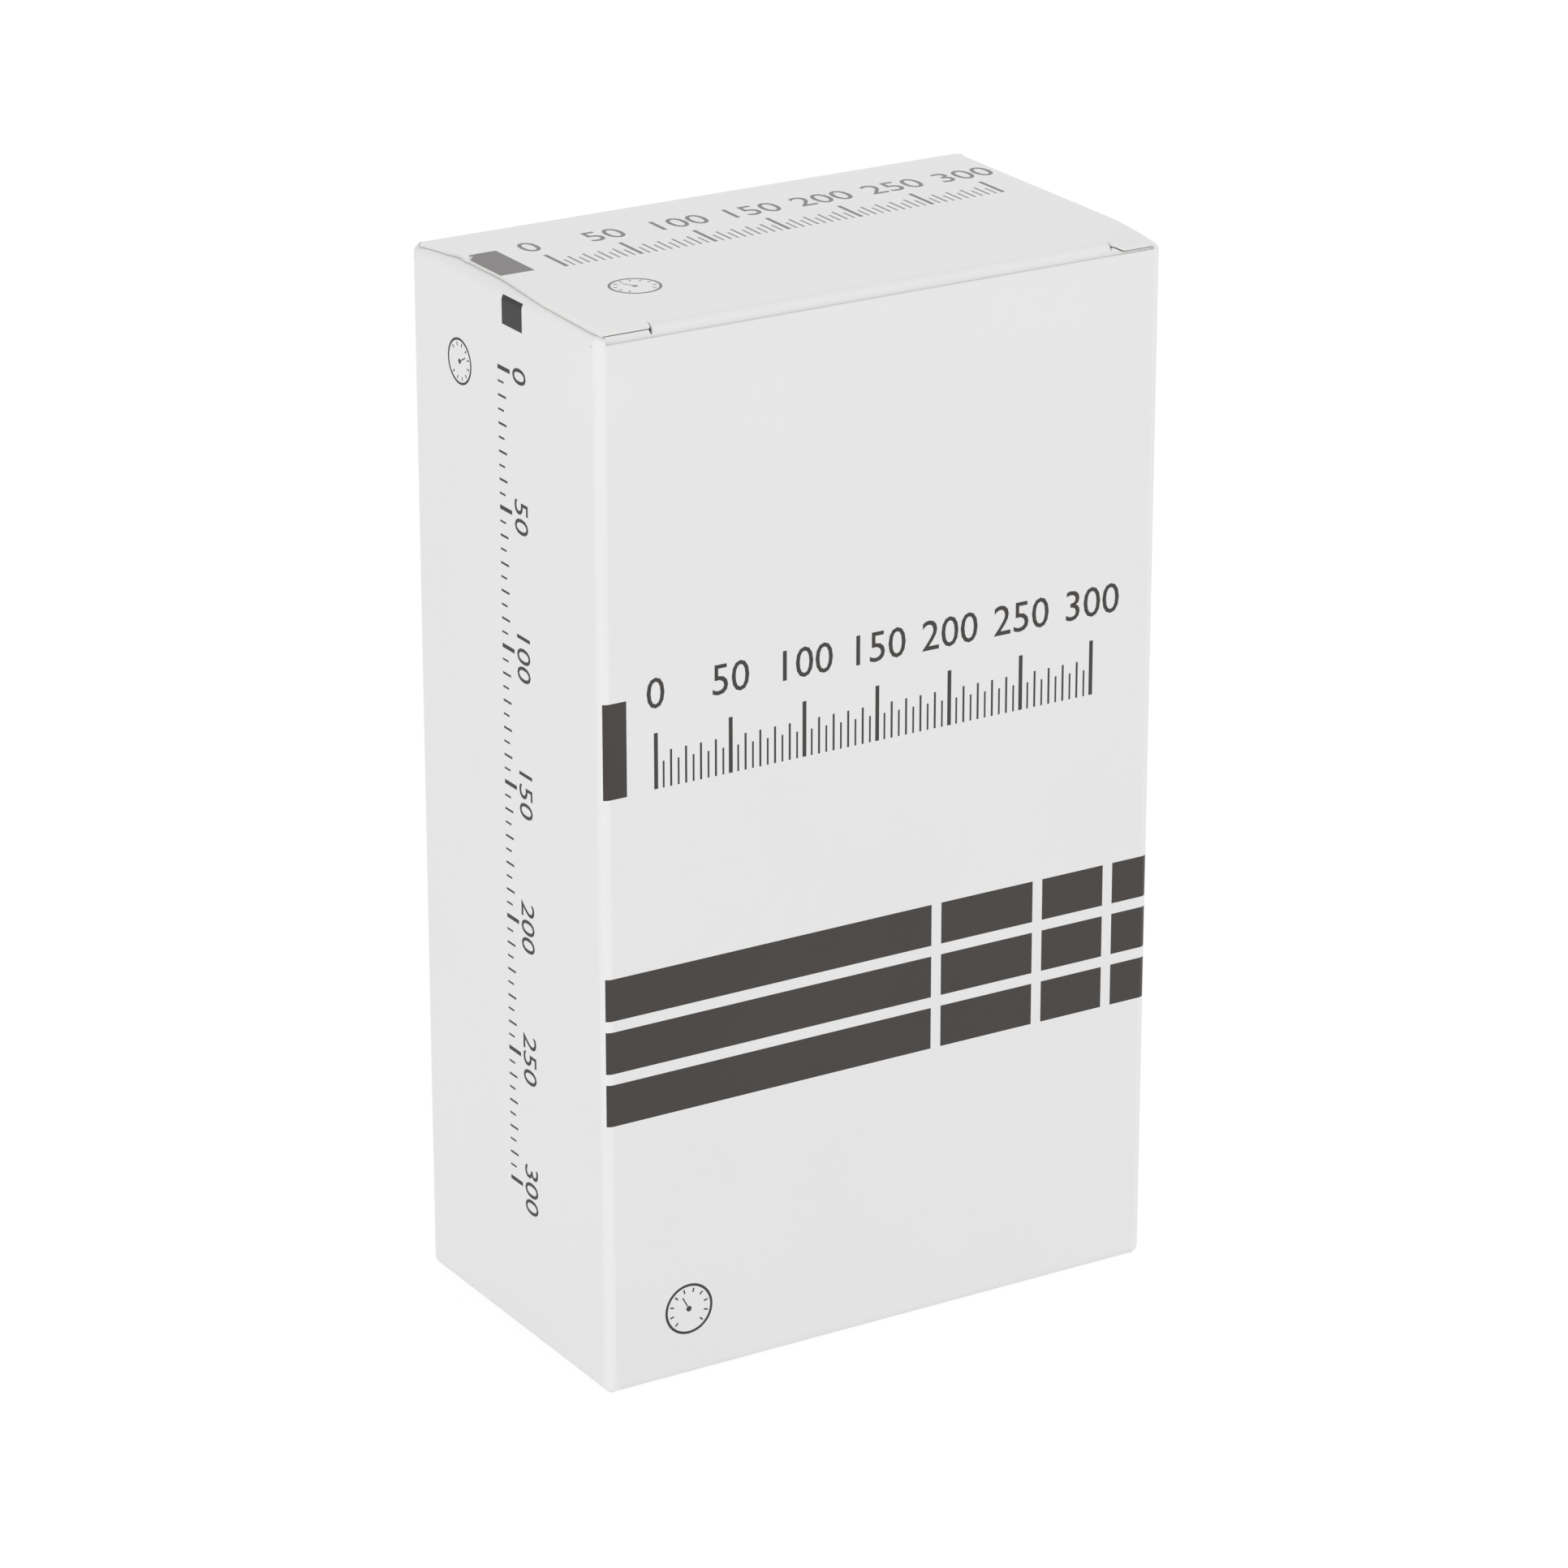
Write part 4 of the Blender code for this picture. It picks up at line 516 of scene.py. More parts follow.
def length_along(line):
    """Running length of a line of points."""
    return np.concatenate([[0.0], np.cumsum(np.linalg.norm(np.diff(line, axis=0), axis=1))])


def section_shell(name, section, low, high, axis, body, skin, stands_for, mark, fall=None):
    """A board carried straight along X or Y: a section in the other two axes, and its two limits.

    mark turns (running length, place along the axis) into the place on the flat sheet, and fall
    gives how far a point drops at its place along the axis and its share of the section.
    """
    run = length_along(section[0])
    length, across = grid_of(run, low, high, SECTION_COLUMNS)
    grids = []
    for face in section:
        first, height = face[:, :1], face[:, 1:]
        if fall:
            height = height - fall(across) * np.linspace(0, 1, len(run))[:, None]
        grids.append(join(*((across, first) if axis == "x" else (first, across)), height))
    shell(name, *grids, body, skin, "white_board", stands_for, join(*mark(length, across)))


def flat_run(section, to, rise):
    """The section carried on to a place along its first axis, with a soft rise at its start."""
    carried = []
    share = np.linspace(0.0, 1.0, 31)[1:] ** 2
    for face in section:
        first = face[-1, 0] + (to - face[-1, 0]) * share
        second = face[-1, 1] + rise * ease(np.abs(first - face[-1, 0]) / FLAP_RAMP)
        carried.append(np.concatenate([face, join(first, second)]))
    return carried


def make_bottom(skin):
    """The four bottom flaps: each bends out of its wall at the floor and rises to its own layer.

    Past the bend their ends run in at 45 degrees, so that two flaps meet in a mitre at a corner.
    """
    flaps = (
        ("left", "bottom_side_flap_left", -1, "y", FLAP_LENGTH - HALF_WIDTH, 2 * LAP_SET),
        ("right", "bottom_side_flap_right", 1, "y", HALF_WIDTH - FLAP_LENGTH, 2 * LAP_SET),
        ("inner", "bottom_inner_flap", -1, "x", INNER_FLAP - HALF_DEPTH, LAP_SET),
        ("outer", "bottom_outer_flap", 1, "x", OUTER_FLAP - HALF_DEPTH, 0.0),
    )
    for name, node, side, axis, end, rise in flaps:
        reach, half = (HALF_WIDTH, HALF_DEPTH) if axis == "y" else (HALF_DEPTH, HALF_WIDTH)
        start = 0.0 if side > 0 else math.pi
        centre = (side * (reach - FOLD), FOLD + FLAP_LIFT)
        section = bend(centre, start, start - side * math.pi / 2, FOLD, lead=0.0)
        bent = length_along(section[0])[-1]
        section = flat_run(section, end, rise)
        run = length_along(section[0])
        taper = FLAP_TAPER * (axis == "y") * (run / run[-1]) ** 2
        half = half - FOLD - np.clip(run - bent, 0, FLAP_RAMP) - taper
        section_shell(
            f"bottom_flap_{name}", section, -half, half, axis, "carton", skin, [node],
            lambda length, across: (PLAIN_SHEET[0] + across, PLAIN_SHEET[1] - length),
        )


def droop(x, y):
    """How far the lid's right front corner is pressed down."""
    ahead = unit((-y - DROOP_START) / DROOP_LENGTH)
    return DROOP * ease((x - LID_FRONT[1]) / DROOP_WIDTH) * ahead**2


def sag(x, y):
    """How far the lid hangs below its edges: most in the middle, nothing along its sides."""
    deep = np.sin(np.pi * unit((y + HALF_DEPTH) / DEPTH)) ** 2
    hang = SAG * deep * np.cos(np.pi / 2 * np.clip(x / LID_HALF, -1, 1)) ** 2
    return hang + droop(x, y)


def make_lid(skin):
    """The lid panel: it sags a hair, has a rough left edge and an ear at each front end."""
    ears = np.linspace(LID_EDGE, LID_HALF, EAR_STEPS)
    middle = np.linspace(*LID_FRONT, LID_STEPS)
    x = np.unique(np.concatenate([-ears, ears, middle]))
    front_fold = TUCK_FOLD + LEAD - TUCK_FACE
    front = np.where(np.abs(x) > LID_EDGE - HAIR, GAP - HALF_DEPTH, front_fold)
    along, y = grid_of(x, front, HALF_DEPTH - FOLD - LEAD, LID_ROWS)
    torn = TEAR + TEAR_PEAK * np.exp(-(((y - TEAR_PLACE) / TEAR_WIDTH) ** 2))
    set_in = np.interp(y, *LID_SET_IN) - (HALF_WIDTH - LID_HALF)
    set_in = set_in + torn * ripple(y * 900, y * 4100)
    along = along + set_in * unit((-along - LID_EDGE) / SLIT)
    faces = [join(along, y, HEIGHT - sag(along, y) - drop) for drop in (0.0, BOARD)]
    marks = join(along + HALF_WIDTH, LID_ROW + y + HALF_DEPTH)
    shell("lid_board", *faces, "lid", skin, "white_board", ["lid_panel"], marks)
    back = bend((HALF_DEPTH - FOLD, HEIGHT - FOLD), 0.0, math.pi / 2, FOLD)
    half = HALF_WIDTH - FOLD + LID_FOLD_EAR * (np.arange(len(back[0])) == len(back[0]) - 1)
    joint = ("carton", "lid", (0, HALF_DEPTH, HEIGHT - FOLD), (0, HALF_DEPTH - FOLD, HEIGHT))
    section_shell(
        "lid_fold", back, -half, half, "x", joint, skin, [],
        lambda length, x: (x + HALF_WIDTH, LID_ROW + DEPTH - length),
    )


def make_tuck(skin):
    """The flap that tucks in behind the front panel, and its fold between two slits in the lid.

    Past the fold it goes straight down by 1 mm, and then leans in. Its shoulders beside the fold
    reach up to the lid's ears, and their top edge stands out a little.
    """
    section = bend((TUCK_FOLD - TUCK_FACE, HEIGHT - TUCK_FOLD), math.pi / 2, math.pi, TUCK_FOLD)
    joint = ("lid", "tuck", (0, TUCK_FOLD - TUCK_FACE, HEIGHT), (0, -TUCK_FACE, HEIGHT - TUCK_FOLD))
    section_shell(
        "tuck_fold", section, *LID_FRONT, "x", joint, skin, [],
        lambda length, x: (x + HALF_WIDTH, LID_ROW + 0.002 - length),
    )
    tip = LID_HALF - TUCK_TAPER
    taper = np.linspace(0.0, 1.0, 12)
    slope = tip - TUCK_CORNER * (1 - np.sin(taper * np.pi / 2))
    sides = np.concatenate([slope, np.linspace(tip, TUCK_HALF, 12)[1:]])
    middle = np.linspace(-slope[0], slope[0], 41)[1:-1]
    x = np.unique(np.concatenate([-sides, middle, sides]).round(7))
    reach = np.abs(x)
    straight = TUCK_LENGTH - TUCK_CORNER
    beyond = np.clip(reach - (tip - TUCK_CORNER), 0, TUCK_CORNER)
    corner = straight + np.sqrt(np.clip(TUCK_CORNER**2 - beyond**2, 0, None))
    side = np.clip(straight * (LID_HALF - reach) / TUCK_TAPER, SHOULDER_END, None)
    end = np.minimum(np.where(reach < tip, corner, side), side) - TUCK_FOLD
    shoulder = reach > LID_EDGE - HAIR
    begin = np.where(shoulder, droop(x, -HALF_DEPTH) - SHOULDER_RISE, 0.0)
    along, depth = grid_of(x, begin, np.maximum(end, TUCK_END), 21)
    lean = math.tan(TUCK_LEAN) * np.clip(depth - TUCK_STRAIGHT, 0, None)
    rim = unit(1 - (depth + SHOULDER_RISE) / SHOULDER_DEPTH)
    out = SHOULDER_OUT * shoulder[:, None] * rim
    faces = [join(along, face[-1, 0] + lean - out, face[-1, 1] - depth) for face in section]
    marks = join(along + HALF_WIDTH, LID_ROW - 0.001 - depth)
    shell("tuck_board", *faces, "tuck", skin, "white_board", ["tuck_flap"], marks)


def make_dust_flap(name, side, skin):
    """A side flap under the lid and the fold that carries it, its back edge sloped, corners round."""
    start = 0.0 if side > 0 else math.pi
    centre = (side * (HALF_WIDTH - FOLD), DUST_TOP - FOLD)
    section = bend(centre, start, start + side * math.pi / 2, FOLD)
    body = f"dust_{name}"
    outer_end, inner_end = (side * HALF_WIDTH, 0, centre[1]), (centre[0], 0, DUST_TOP)

    def mark(length, y):
        along = -HALF_DEPTH - y if side < 0 else WIDTH + HALF_DEPTH + y
        return along, DUST_TOP - FOLD - LEAD + length

    run = length_along(section[0])
    half = np.interp(run / run[-1], (0.0, 0.75, 1.0), (DUST_FOLD_END, DUST_FOLD_END, DUST_HALF))
    section_shell(
        f"dust_fold_{name}", section, -half, half, "y", ("carton", body, outer_end, inner_end),
        skin, [], mark, lambda y: droop(side * LID_HALF, y),
    )
    far = np.linspace(0.0, 1.0, DUST_STEPS) ** 0.8
    reach = FOLD + LEAD + (DUST_LENGTH - FOLD - LEAD) * far
    low = -DUST_HALF + DUST_FRONT_TAPER * reach / DUST_LENGTH
    high = DUST_HALF - DUST_BACK_SLOPE * np.clip(reach - DUST_SLOPE_START, 0, None)
    left = unit((reach - DUST_LENGTH + DUST_CORNER) / DUST_CORNER)
    off = DUST_CORNER * (1 - np.sqrt(unit(1 - left**2)))
    along, y = grid_of(side * (HALF_WIDTH - reach), low + off, high - off * 0.5, DUST_COLUMNS)
    faces = [join(along, y, DUST_TOP - sag(along, y) - drop) for drop in (0.0, BOARD)]
    marks = join(*mark(0.5 + reach[:, None], y))
    shell(f"dust_board_{name}", *faces, body, skin, "white_board", [f"dust_flap_{name}"], marks)


def board_skin():
    """White coated board: charcoal print on its outer side, duller inside, paler cut edges, a painted
    highlight along the upright folds, and the ink on the side panels darkened as painted shade.
    """
    skin, tree = base_skin("white_board_printed", IOR=COATING_IOR)
    sheet = tree.add("ShaderNodeAttribute", {"attribute_name": "sheet"}, output=1)
    s, t, side = sheet.parts()
    place = object_place(tree)
    u = s % (WIDTH + DEPTH)
    wide, narrow = u < WIDTH, u > WIDTH
    on_walls = t < WALL_SHEET_TOP
    bars = u.between(*BAR[:2]) * t.between(*BAR[2:])
    bars = bars + u.between(*SIDE_BAR) * t.between(*SIDE_BAR_LEVELS)
    tear = (1 - abs(t - LID_BAR[3]) * LID_BAR_TEAR_RATE).clamp() * place.noise(1100.0)
    bar = s.between(*LID_BAR[:2]) * t.between(*LID_BAR[2:])
    bars = bars + bar * (s > tear * LID_BAR_TEAR + LID_BAR[0])
    row = (t - STRIPE_FOOT) % STRIPE_PITCH < STRIPE
    stripes = row * t.between(STRIPE_FOOT, STRIPE_FOOT + STRIPES * STRIPE_PITCH) * wide
    for low, high in BLOCK_GAPS:
        stripes = stripes * (1 - u.between(low, high))
    front = scale_ticks(u, t, SCALE_START, SCALE_END, SCALE_FOOT, SCALE_TICK)
    top = scale_ticks(s, t, LID_SCALE_START, LID_SCALE_END, LID_SCALE_FOOT, LID_SCALE_TICK)
    sides = scale_ticks(t, u, SIDE_SCALE_TOP, SIDE_SCALE_END, SIDE_SCALE_FOOT, SIDE_SCALE_TICK)
    ticks = front * on_walls + top * (1 - on_walls) + sides * narrow
    outer, cut = side > 0.75, side > 0.25
    printed = (bars + stripes + ticks).clamp() * outer
    cloud = place.noise(28.0, 2.0)
    fibres = place.noise(2600.0, 3.0, 0.7)
    # Painted highlight: in a band along each upright fold the white goes half way to a paler colour
    fold = abs((u + WIDTH / 2) % (WIDTH + DEPTH) - WIDTH / 2)
    fold = (fold * (abs(u - WIDTH) > FOLD)) < FOLD
    white = (fold * 0.5).mix(cloud.mix(*WHITE), FOLD_HIGHLIGHT)
    colour = cut.mix(fibres.mix(*INSIDE), fibres.mix(*CUT))
    colour = outer.mix(colour, white)
    # Painted shade: the print on the side panels takes the darker copy of the ink
    colour = printed.mix(colour, narrow.mix(cloud.mix(*INK), cloud.mix(*SIDE_INK_PAINTED_SHADE)))
    plain = 0.50 + cloud * 0.06 - printed * 0.18
    roughness = outer * (plain - 0.85) + 0.85
    normal = tree.bump(fibres * 0.5 + place.noise(420.0, 2.0), 0.10, 0.00006)
    return wire(skin, Base_Color=colour, Roughness=roughness, Normal=normal)


def scale_ticks(along, up, start, end, foot, tall):
    """Ticks of a pressure scale: one for each 5 units, longer at each 10, longest at each 50."""
    value = (along - start) / ((end - start) / SCALE_TOP_VALUE)
    spacing = abs(end - start) / SCALE_TOP_VALUE
    inside = value.between(-2.0, SCALE_TOP_VALUE + 2.0)
    ticks = None
    for step, share, broad in SCALE_TICKS:
        near = value.off_step(step) < broad / 2 / spacing
        mark = near * up.between(foot, foot + share * tall)
        ticks = ticks.most(mark) if ticks else mark
    return ticks * inside


# Print as thin raised pieces: numbers and the small dial sign


def curve_mesh(curve):
    """The points and faces of a flat curve or text, made a mesh."""
    item = in_scene("shape", curve)
    bpy.context.view_layer.update()
    made = item.evaluated_get(bpy.context.evaluated_depsgraph_get()).to_mesh()
    points = np.array([v.co for v in made.vertices], float).reshape(-1, 3)
    faces = [list(face.vertices) for face in made.polygons]
    bpy.data.objects.remove(item, do_unlink=True)
    bpy.data.curves.remove(curve)
    return points, faces


def number(value, height, at):
    """A number centred on a point of the panel, its figures of the given height."""
    text = bpy.data.curves.new("figures", "FONT")
    text.body = str(value)
    text.align_x = "CENTER"
    text.align_y = "BOTTOM"
    text.size = height / FIGURE_SHARE
    text.extrude = INK_LIFT
    text.resolution_u = 3
    points, faces = curve_mesh(text)
    return points + (at[0], at[1] - points[:, 1].min(), 0.0), faces


def outlined(outlines, rise):
    """Flat shapes inside closed outlines, with a thickness of twice the rise."""
    curve = bpy.data.curves.new("outline", "CURVE")
    curve.dimensions = "2D"
    curve.fill_mode = "BOTH"
    curve.extrude = rise
    for outline in outlines:
        spline = curve.splines.new("POLY")
        spline.points.add(len(outline) - 1)
        spline.points.foreach_set("co", join(*outline.T, 0.0, 1.0).ravel())
        spline.use_cyclic_u = True
    return curve_mesh(curve)


def dial_sign(radius, at):
    """A small round dial: a ring, ticks round three quarters of it, and a pointer."""
    ring = np.linspace(0, 2 * np.pi, 49)[:-1]
    circle = join(np.cos(ring), np.sin(ring)) * radius
    bar = np.array([(0.0, -0.030), (1.0, -0.030), (1.0, 0.030), (0.0, 0.030)])
    tick = bar * (0.16, 1.0) + (0.66, 0.0)
    hand = bar * (0.42, 0.8) + (0.13, 0.0)
    outlines = [circle, circle * 0.90, circle * 0.11]
    for angle, shape in [(angle, tick) for angle in range(-45, 226, 30)] + [(118, hand)]:
        cos, sin = np.cos(np.radians(angle)), np.sin(np.radians(angle))
        outlines.append(shape @ np.array([(cos, sin), (-sin, cos)]) * radius)
    points, faces = outlined(outlines, INK_LIFT)
    return points + (*at, 0.0), faces


def print_piece(name, parts, lay, body, skin, stands_for=()):
    """Flat parts gathered in one mesh, each point (a, b, rise) laid on its panel by lay."""
    points, faces, count = [], [], 0
    for own, own_faces in parts:
        points.append(own)
        faces += [[i + count for i in face] for face in own_faces]
        count += len(own)
    mesh = bpy.data.meshes.new(name)
    mesh.from_pydata(lay(np.concatenate(points)).tolist(), [], faces)
    weld(mesh, 1e-8, outward=True)
    return as_piece(name, mesh, body, skin, stands_for)


def panel_lay(origin, right, up, out):
    """A rule that lays (a, b, rise) on a flat panel."""
    axes = np.array([right, up, out], float)
    return lambda flat: np.array(origin) + flat @ axes


def scale_numbers(start, end, foot, height):
    values = range(0, SCALE_TOP_VALUE + 1, NUMBER_STEP)
    places = np.linspace(start, end, len(values))
    return [number(value, height, (place, foot)) for value, place in zip(values, places)]


def bowed_lay(along, up=0.0):
    """A rule that lays (a, b, rise) on the walls' outer face from a place there, bowed as it is."""
    return lambda flat: wall_place(flat[:, 0] + along, flat[:, 1] + up, -flat[:, 2])


def lid_lay(flat):
    """(a, b, rise) laid on the lid, sagging as it does."""
    x, y = flat[:, 0] - HALF_WIDTH, flat[:, 1] - HALF_DEPTH
    return join(x, y, HEIGHT - sag(x, y) + flat[:, 2])


def make_print(skin, side_shade_skin):
    """Numbers and dial signs on the front, back, both sides and the lid."""
    wide = scale_numbers(SCALE_START, SCALE_END, SCALE_NUMBER_FOOT, SCALE_NUMBER)
    wide.append(dial_sign(*WIDE_SIGN))
    print_piece("front_print", wide, bowed_lay(0.0), "carton", skin)
    print_piece("back_print", wide, bowed_lay(-(WIDTH + DEPTH)), "carton", skin)
    tall = scale_numbers(0.0, SIDE_SCALE_TOP - SIDE_SCALE_END, SIDE_NUMBER_FOOT, SIDE_NUMBER)
    tall.append(dial_sign(*SIDE_SIGN))
    upright = [(points[:, [1, 0, 2]] * (1.0, -1.0, 1.0), faces) for points, faces in tall]
    # Painted shade: the numbers and signs on the sides take the darker copy of the ink
    for name, base in (("left", -DEPTH), ("right", WIDTH)):
        lay = bowed_lay(base + SIDE_SCALE_FOOT - WIDTH, SIDE_SCALE_TOP)
        print_piece(f"{name}_print", upright, lay, "carton", side_shade_skin)
    top = scale_numbers(LID_SCALE_START, LID_SCALE_END, LID_NUMBER_FOOT, SCALE_NUMBER)
    top.append(dial_sign(*LID_SIGN))
    print_piece("lid_print", top, lid_lay, "lid", skin)


def ink_skin(name, shades):
    """Charcoal printing ink, faintly clouded between two shades."""
    skin, tree = base_skin(name, Roughness=0.34, IOR=COATING_IOR)
    return wire(skin, Base_Color=object_place(tree).noise(28.0, 2.0).mix(*shades))


def make_carton():
    skin = board_skin()
    make_walls(skin)
    make_bottom(skin)
    make_lid(skin)
    make_tuck(skin)
    make_dust_flap("left", -1, skin)
    make_dust_flap("right", 1, skin)
    # The second ink is a darker copy of the first, painted shade for the side panels
    make_print(ink_skin("charcoal_ink", INK), ink_skin("side_ink_painted_shade", SIDE_INK_PAINTED_SHADE))


# Cuff


def roll_radius(turn):
    """Radius of the outer cloth's outer face: bare turns lie closer than those with the bladder."""
    bare = np.minimum(turn, BARE_TURNS)
    return CORE_RADIUS + bare * BARE_PITCH + np.maximum(turn - BARE_TURNS, 0.0) * FULL_PITCH


def face_out(out):
    """A rule for a face that lies further out than the outer cloth's, or further in."""
    return lambda turn: roll_radius(turn) + out


def lining_face(turn):
    """Radius of the lining's face, which makes room for the bladder after the bare turns."""
    room = GAP + unit(turn - BARE_TURNS) * (BLADDER + GAP)
    return roll_radius(turn) - CLOTH - room


def roll_place(turn, radius, height):
    """A point of the roll, at angle = ROLL_END_ANGLE + 2 pi (turn - ROLL_TURNS) about its middle."""
    angle = ROLL_END_ANGLE + (turn - ROLL_TURNS) * 2 * np.pi
    x, y = ROLL_X + radius * np.cos(angle), radius * np.sin(angle)
    return join(x, y, height)


def wound(name, turns, face, thick, margin, skin):
    """A layer of the roll between two turns, its edges and ends rounded off.

    face(turn) is the radius of its outer face. With half the thickness h, the section's points are
    (h cos a, h sin a) round each long edge, and h falls to nothing at the start and the end.
    """
    start, end = turns
    half = thick / 2
    low, high = ROLL_LOW[2] + margin, ROLL_TOP - margin
    close = np.array([0.0, 0.1, 0.35, 1.0]) * half / (2 * np.pi * face(end))
    steps = max(FEWEST_STEPS, round((end - start) * STEPS_PER_TURN))
    middle = np.linspace(start, end, steps)[1:-1]
    turns = np.concatenate([start + close, middle, end - close[::-1]])[:, None]
    ends = np.minimum(turns - start, end - turns) * 2 * np.pi * face(end) / half
    h = half * np.sqrt(unit(1 - unit(1 - ends) ** 2))
    rise, arc = np.linspace(0, 1, 9), np.linspace(0, np.pi, 7)[1:-1]
    a = np.concatenate([0 * rise, arc, 0 * rise + np.pi, arc + np.pi])
    share = np.concatenate([rise, 0 * arc + 1, rise[::-1], 0 * arc])
    edge = np.where((a == 0) | (a == np.pi), 0.0, np.sin(a))
    height = low + h + share * (high - low - 2 * h) + h * edge
    ruffle = RUFFLE * ripple(turns * 23 + share * 7)
    grid = roll_place(turns, face(turns) - half + h * np.cos(a) + ruffle, height)
    piece = surface("wound_" + name, grid, "carton", skin, [name], (False, True))
    length = length_along(roll_place(turns, face(turns) - half, 0.0)[:, 0])[-1]


def make_cuff(rubber):
    """Outer cloth, lining and bladder wound together, with the loop patch and the hook tab."""
    navy = fabric("navy_nylon", NAVY, 0.72, 900.0)
    grey = fabric("grey_nylon", GREY, 0.80, 900.0)
    pile = fabric("loop_pile", PILE, 0.97, 2600.0)
    whole, margin = (0.0, ROLL_TURNS), (ROLL_TOP - ROLL_LOW[2] - TAB_WIDTH) / 2
    under, over = face_out(-CLOTH - GAP), face_out(GAP + PATCH)
    above = face_out(2 * GAP + 2 * PATCH)
    wound("cuff_outer_cloth", whole, roll_radius, CLOTH, 0.0, navy)
    wound("cuff_inner_cloth", whole, lining_face, CLOTH, 0.0, grey)
    wound("cuff_bladder", BLADDER_TURNS, under, BLADDER, BLADDER_MARGIN, rubber)
    wound("loop_patch", PATCH_TURNS, over, PATCH, PATCH_MARGIN, pile)
    wound("hook_tab", TAB_TURNS, above, PATCH, margin, navy)


def port_place(turn):
    """Plan position of a port in the bladder's thickness, and its direction along the roll."""
    radius = roll_radius(turn) - CLOTH - GAP - BLADDER / 2
    x, y, _ = roll_place(turn, radius, 0.0)
    return x, y, ROLL_END_ANGLE + (turn - ROLL_TURNS) * 2 * np.pi + np.pi / 2


def make_port(name, turn, rubber):
    """A port: oval rings from a flat neck between the cloths to a collar and a round tube."""
    x, y, along = port_place(turn)
    # Width, depth and level of each ring in millimetres: up the outside, then down the bore
    rings = (
        (7.0, 1.2, -5.7), (7.0, 1.2, 0.1), (6.6, 4.6, 0.45), (6.2, 6.2, 0.7), (6.2, 6.2, 1.2),
        (5.4, 5.4, 1.5), (3.4, 3.4, 1.6), (3.0, 3.0, 1.9), (3.0, 3.0, 13.0), (1.6, 1.6, 13.0),
        (1.6, 1.6, 1.5), (5.8, 0.6, 0.3), (5.8, 0.6, -5.7),
    )
    wide, deep, rise = (np.array(row)[:, None] / 1000 for row in zip(*rings))
    turn_round = np.linspace(0, 2 * np.pi, PORT_STEPS, endpoint=False)
    across, through = wide / 2 * np.cos(turn_round), deep / 2 * np.sin(turn_round)
    px = x + across * np.cos(along) - through * np.sin(along)
    py = y + across * np.sin(along) + through * np.cos(along)
    grid = join(px, py, ROLL_TOP + rise)
    surface(name + "_rubber", grid, "carton", rubber, [name], (True, True))


# Gauge, bulb and valves. Profiles are rows of (radius, height) in millimetres


def rounded(points, radius, closed):
    """A line of points with each corner turned into a small curve."""
    steps = [np.roll(points, shift, axis=0) - points for shift in (1, -1)]
    sizes = [np.maximum(np.linalg.norm(step, axis=1)[:, None], 1e-9) for step in steps]
    start, end = (
        points + step * np.minimum(radius, size / 2) / size for step, size in zip(steps, sizes)
    )
    t = np.linspace(0, 1, 5)[None, :, None]
    start, points, end = start[:, None], points[:, None], end[:, None]
    curve = (1 - t) ** 2 * start + 2 * t * (1 - t) * points + t**2 * end
    if closed:
        return curve.reshape(-1, 2)
    return np.concatenate([points[0], curve[1:-1].reshape(-1, 2), points[-1]])


def turned(
    name, profile, at, skin, stands_for=(), radius=0.2, steps=ROUND_STEPS, flutes=None,
    forward=False, body="carton", sharp=38.0,
):
    """A profile carried round an upright axis, or round one towards the front.

    A profile that starts and ends on the axis is open, any other is closed to a ring. flutes gives
    a count of grooves, their depth, and the radius beyond which they are cut.
    """
    closed = profile[0][0] > 0
    line = rounded(np.array(profile, float) / 1000, radius / 1000, closed)
    turn = np.linspace(0, 2 * np.pi, steps, endpoint=False)[:, None]
    reach = line[:, 0]
    if flutes:
        count, depth, start = flutes
        groove = depth / 1000 * (0.5 - 0.5 * np.cos(count * turn))
        reach = reach - groove * (reach > start / 1000)
    across, aside, up = reach * np.cos(turn), reach * np.sin(turn), line[:, 1]
    grid = join(*((across, -up, aside) if forward else (across, aside, up))) + np.array(at)
    return surface(name, grid, body, skin, stands_for, (True, closed), sharp)


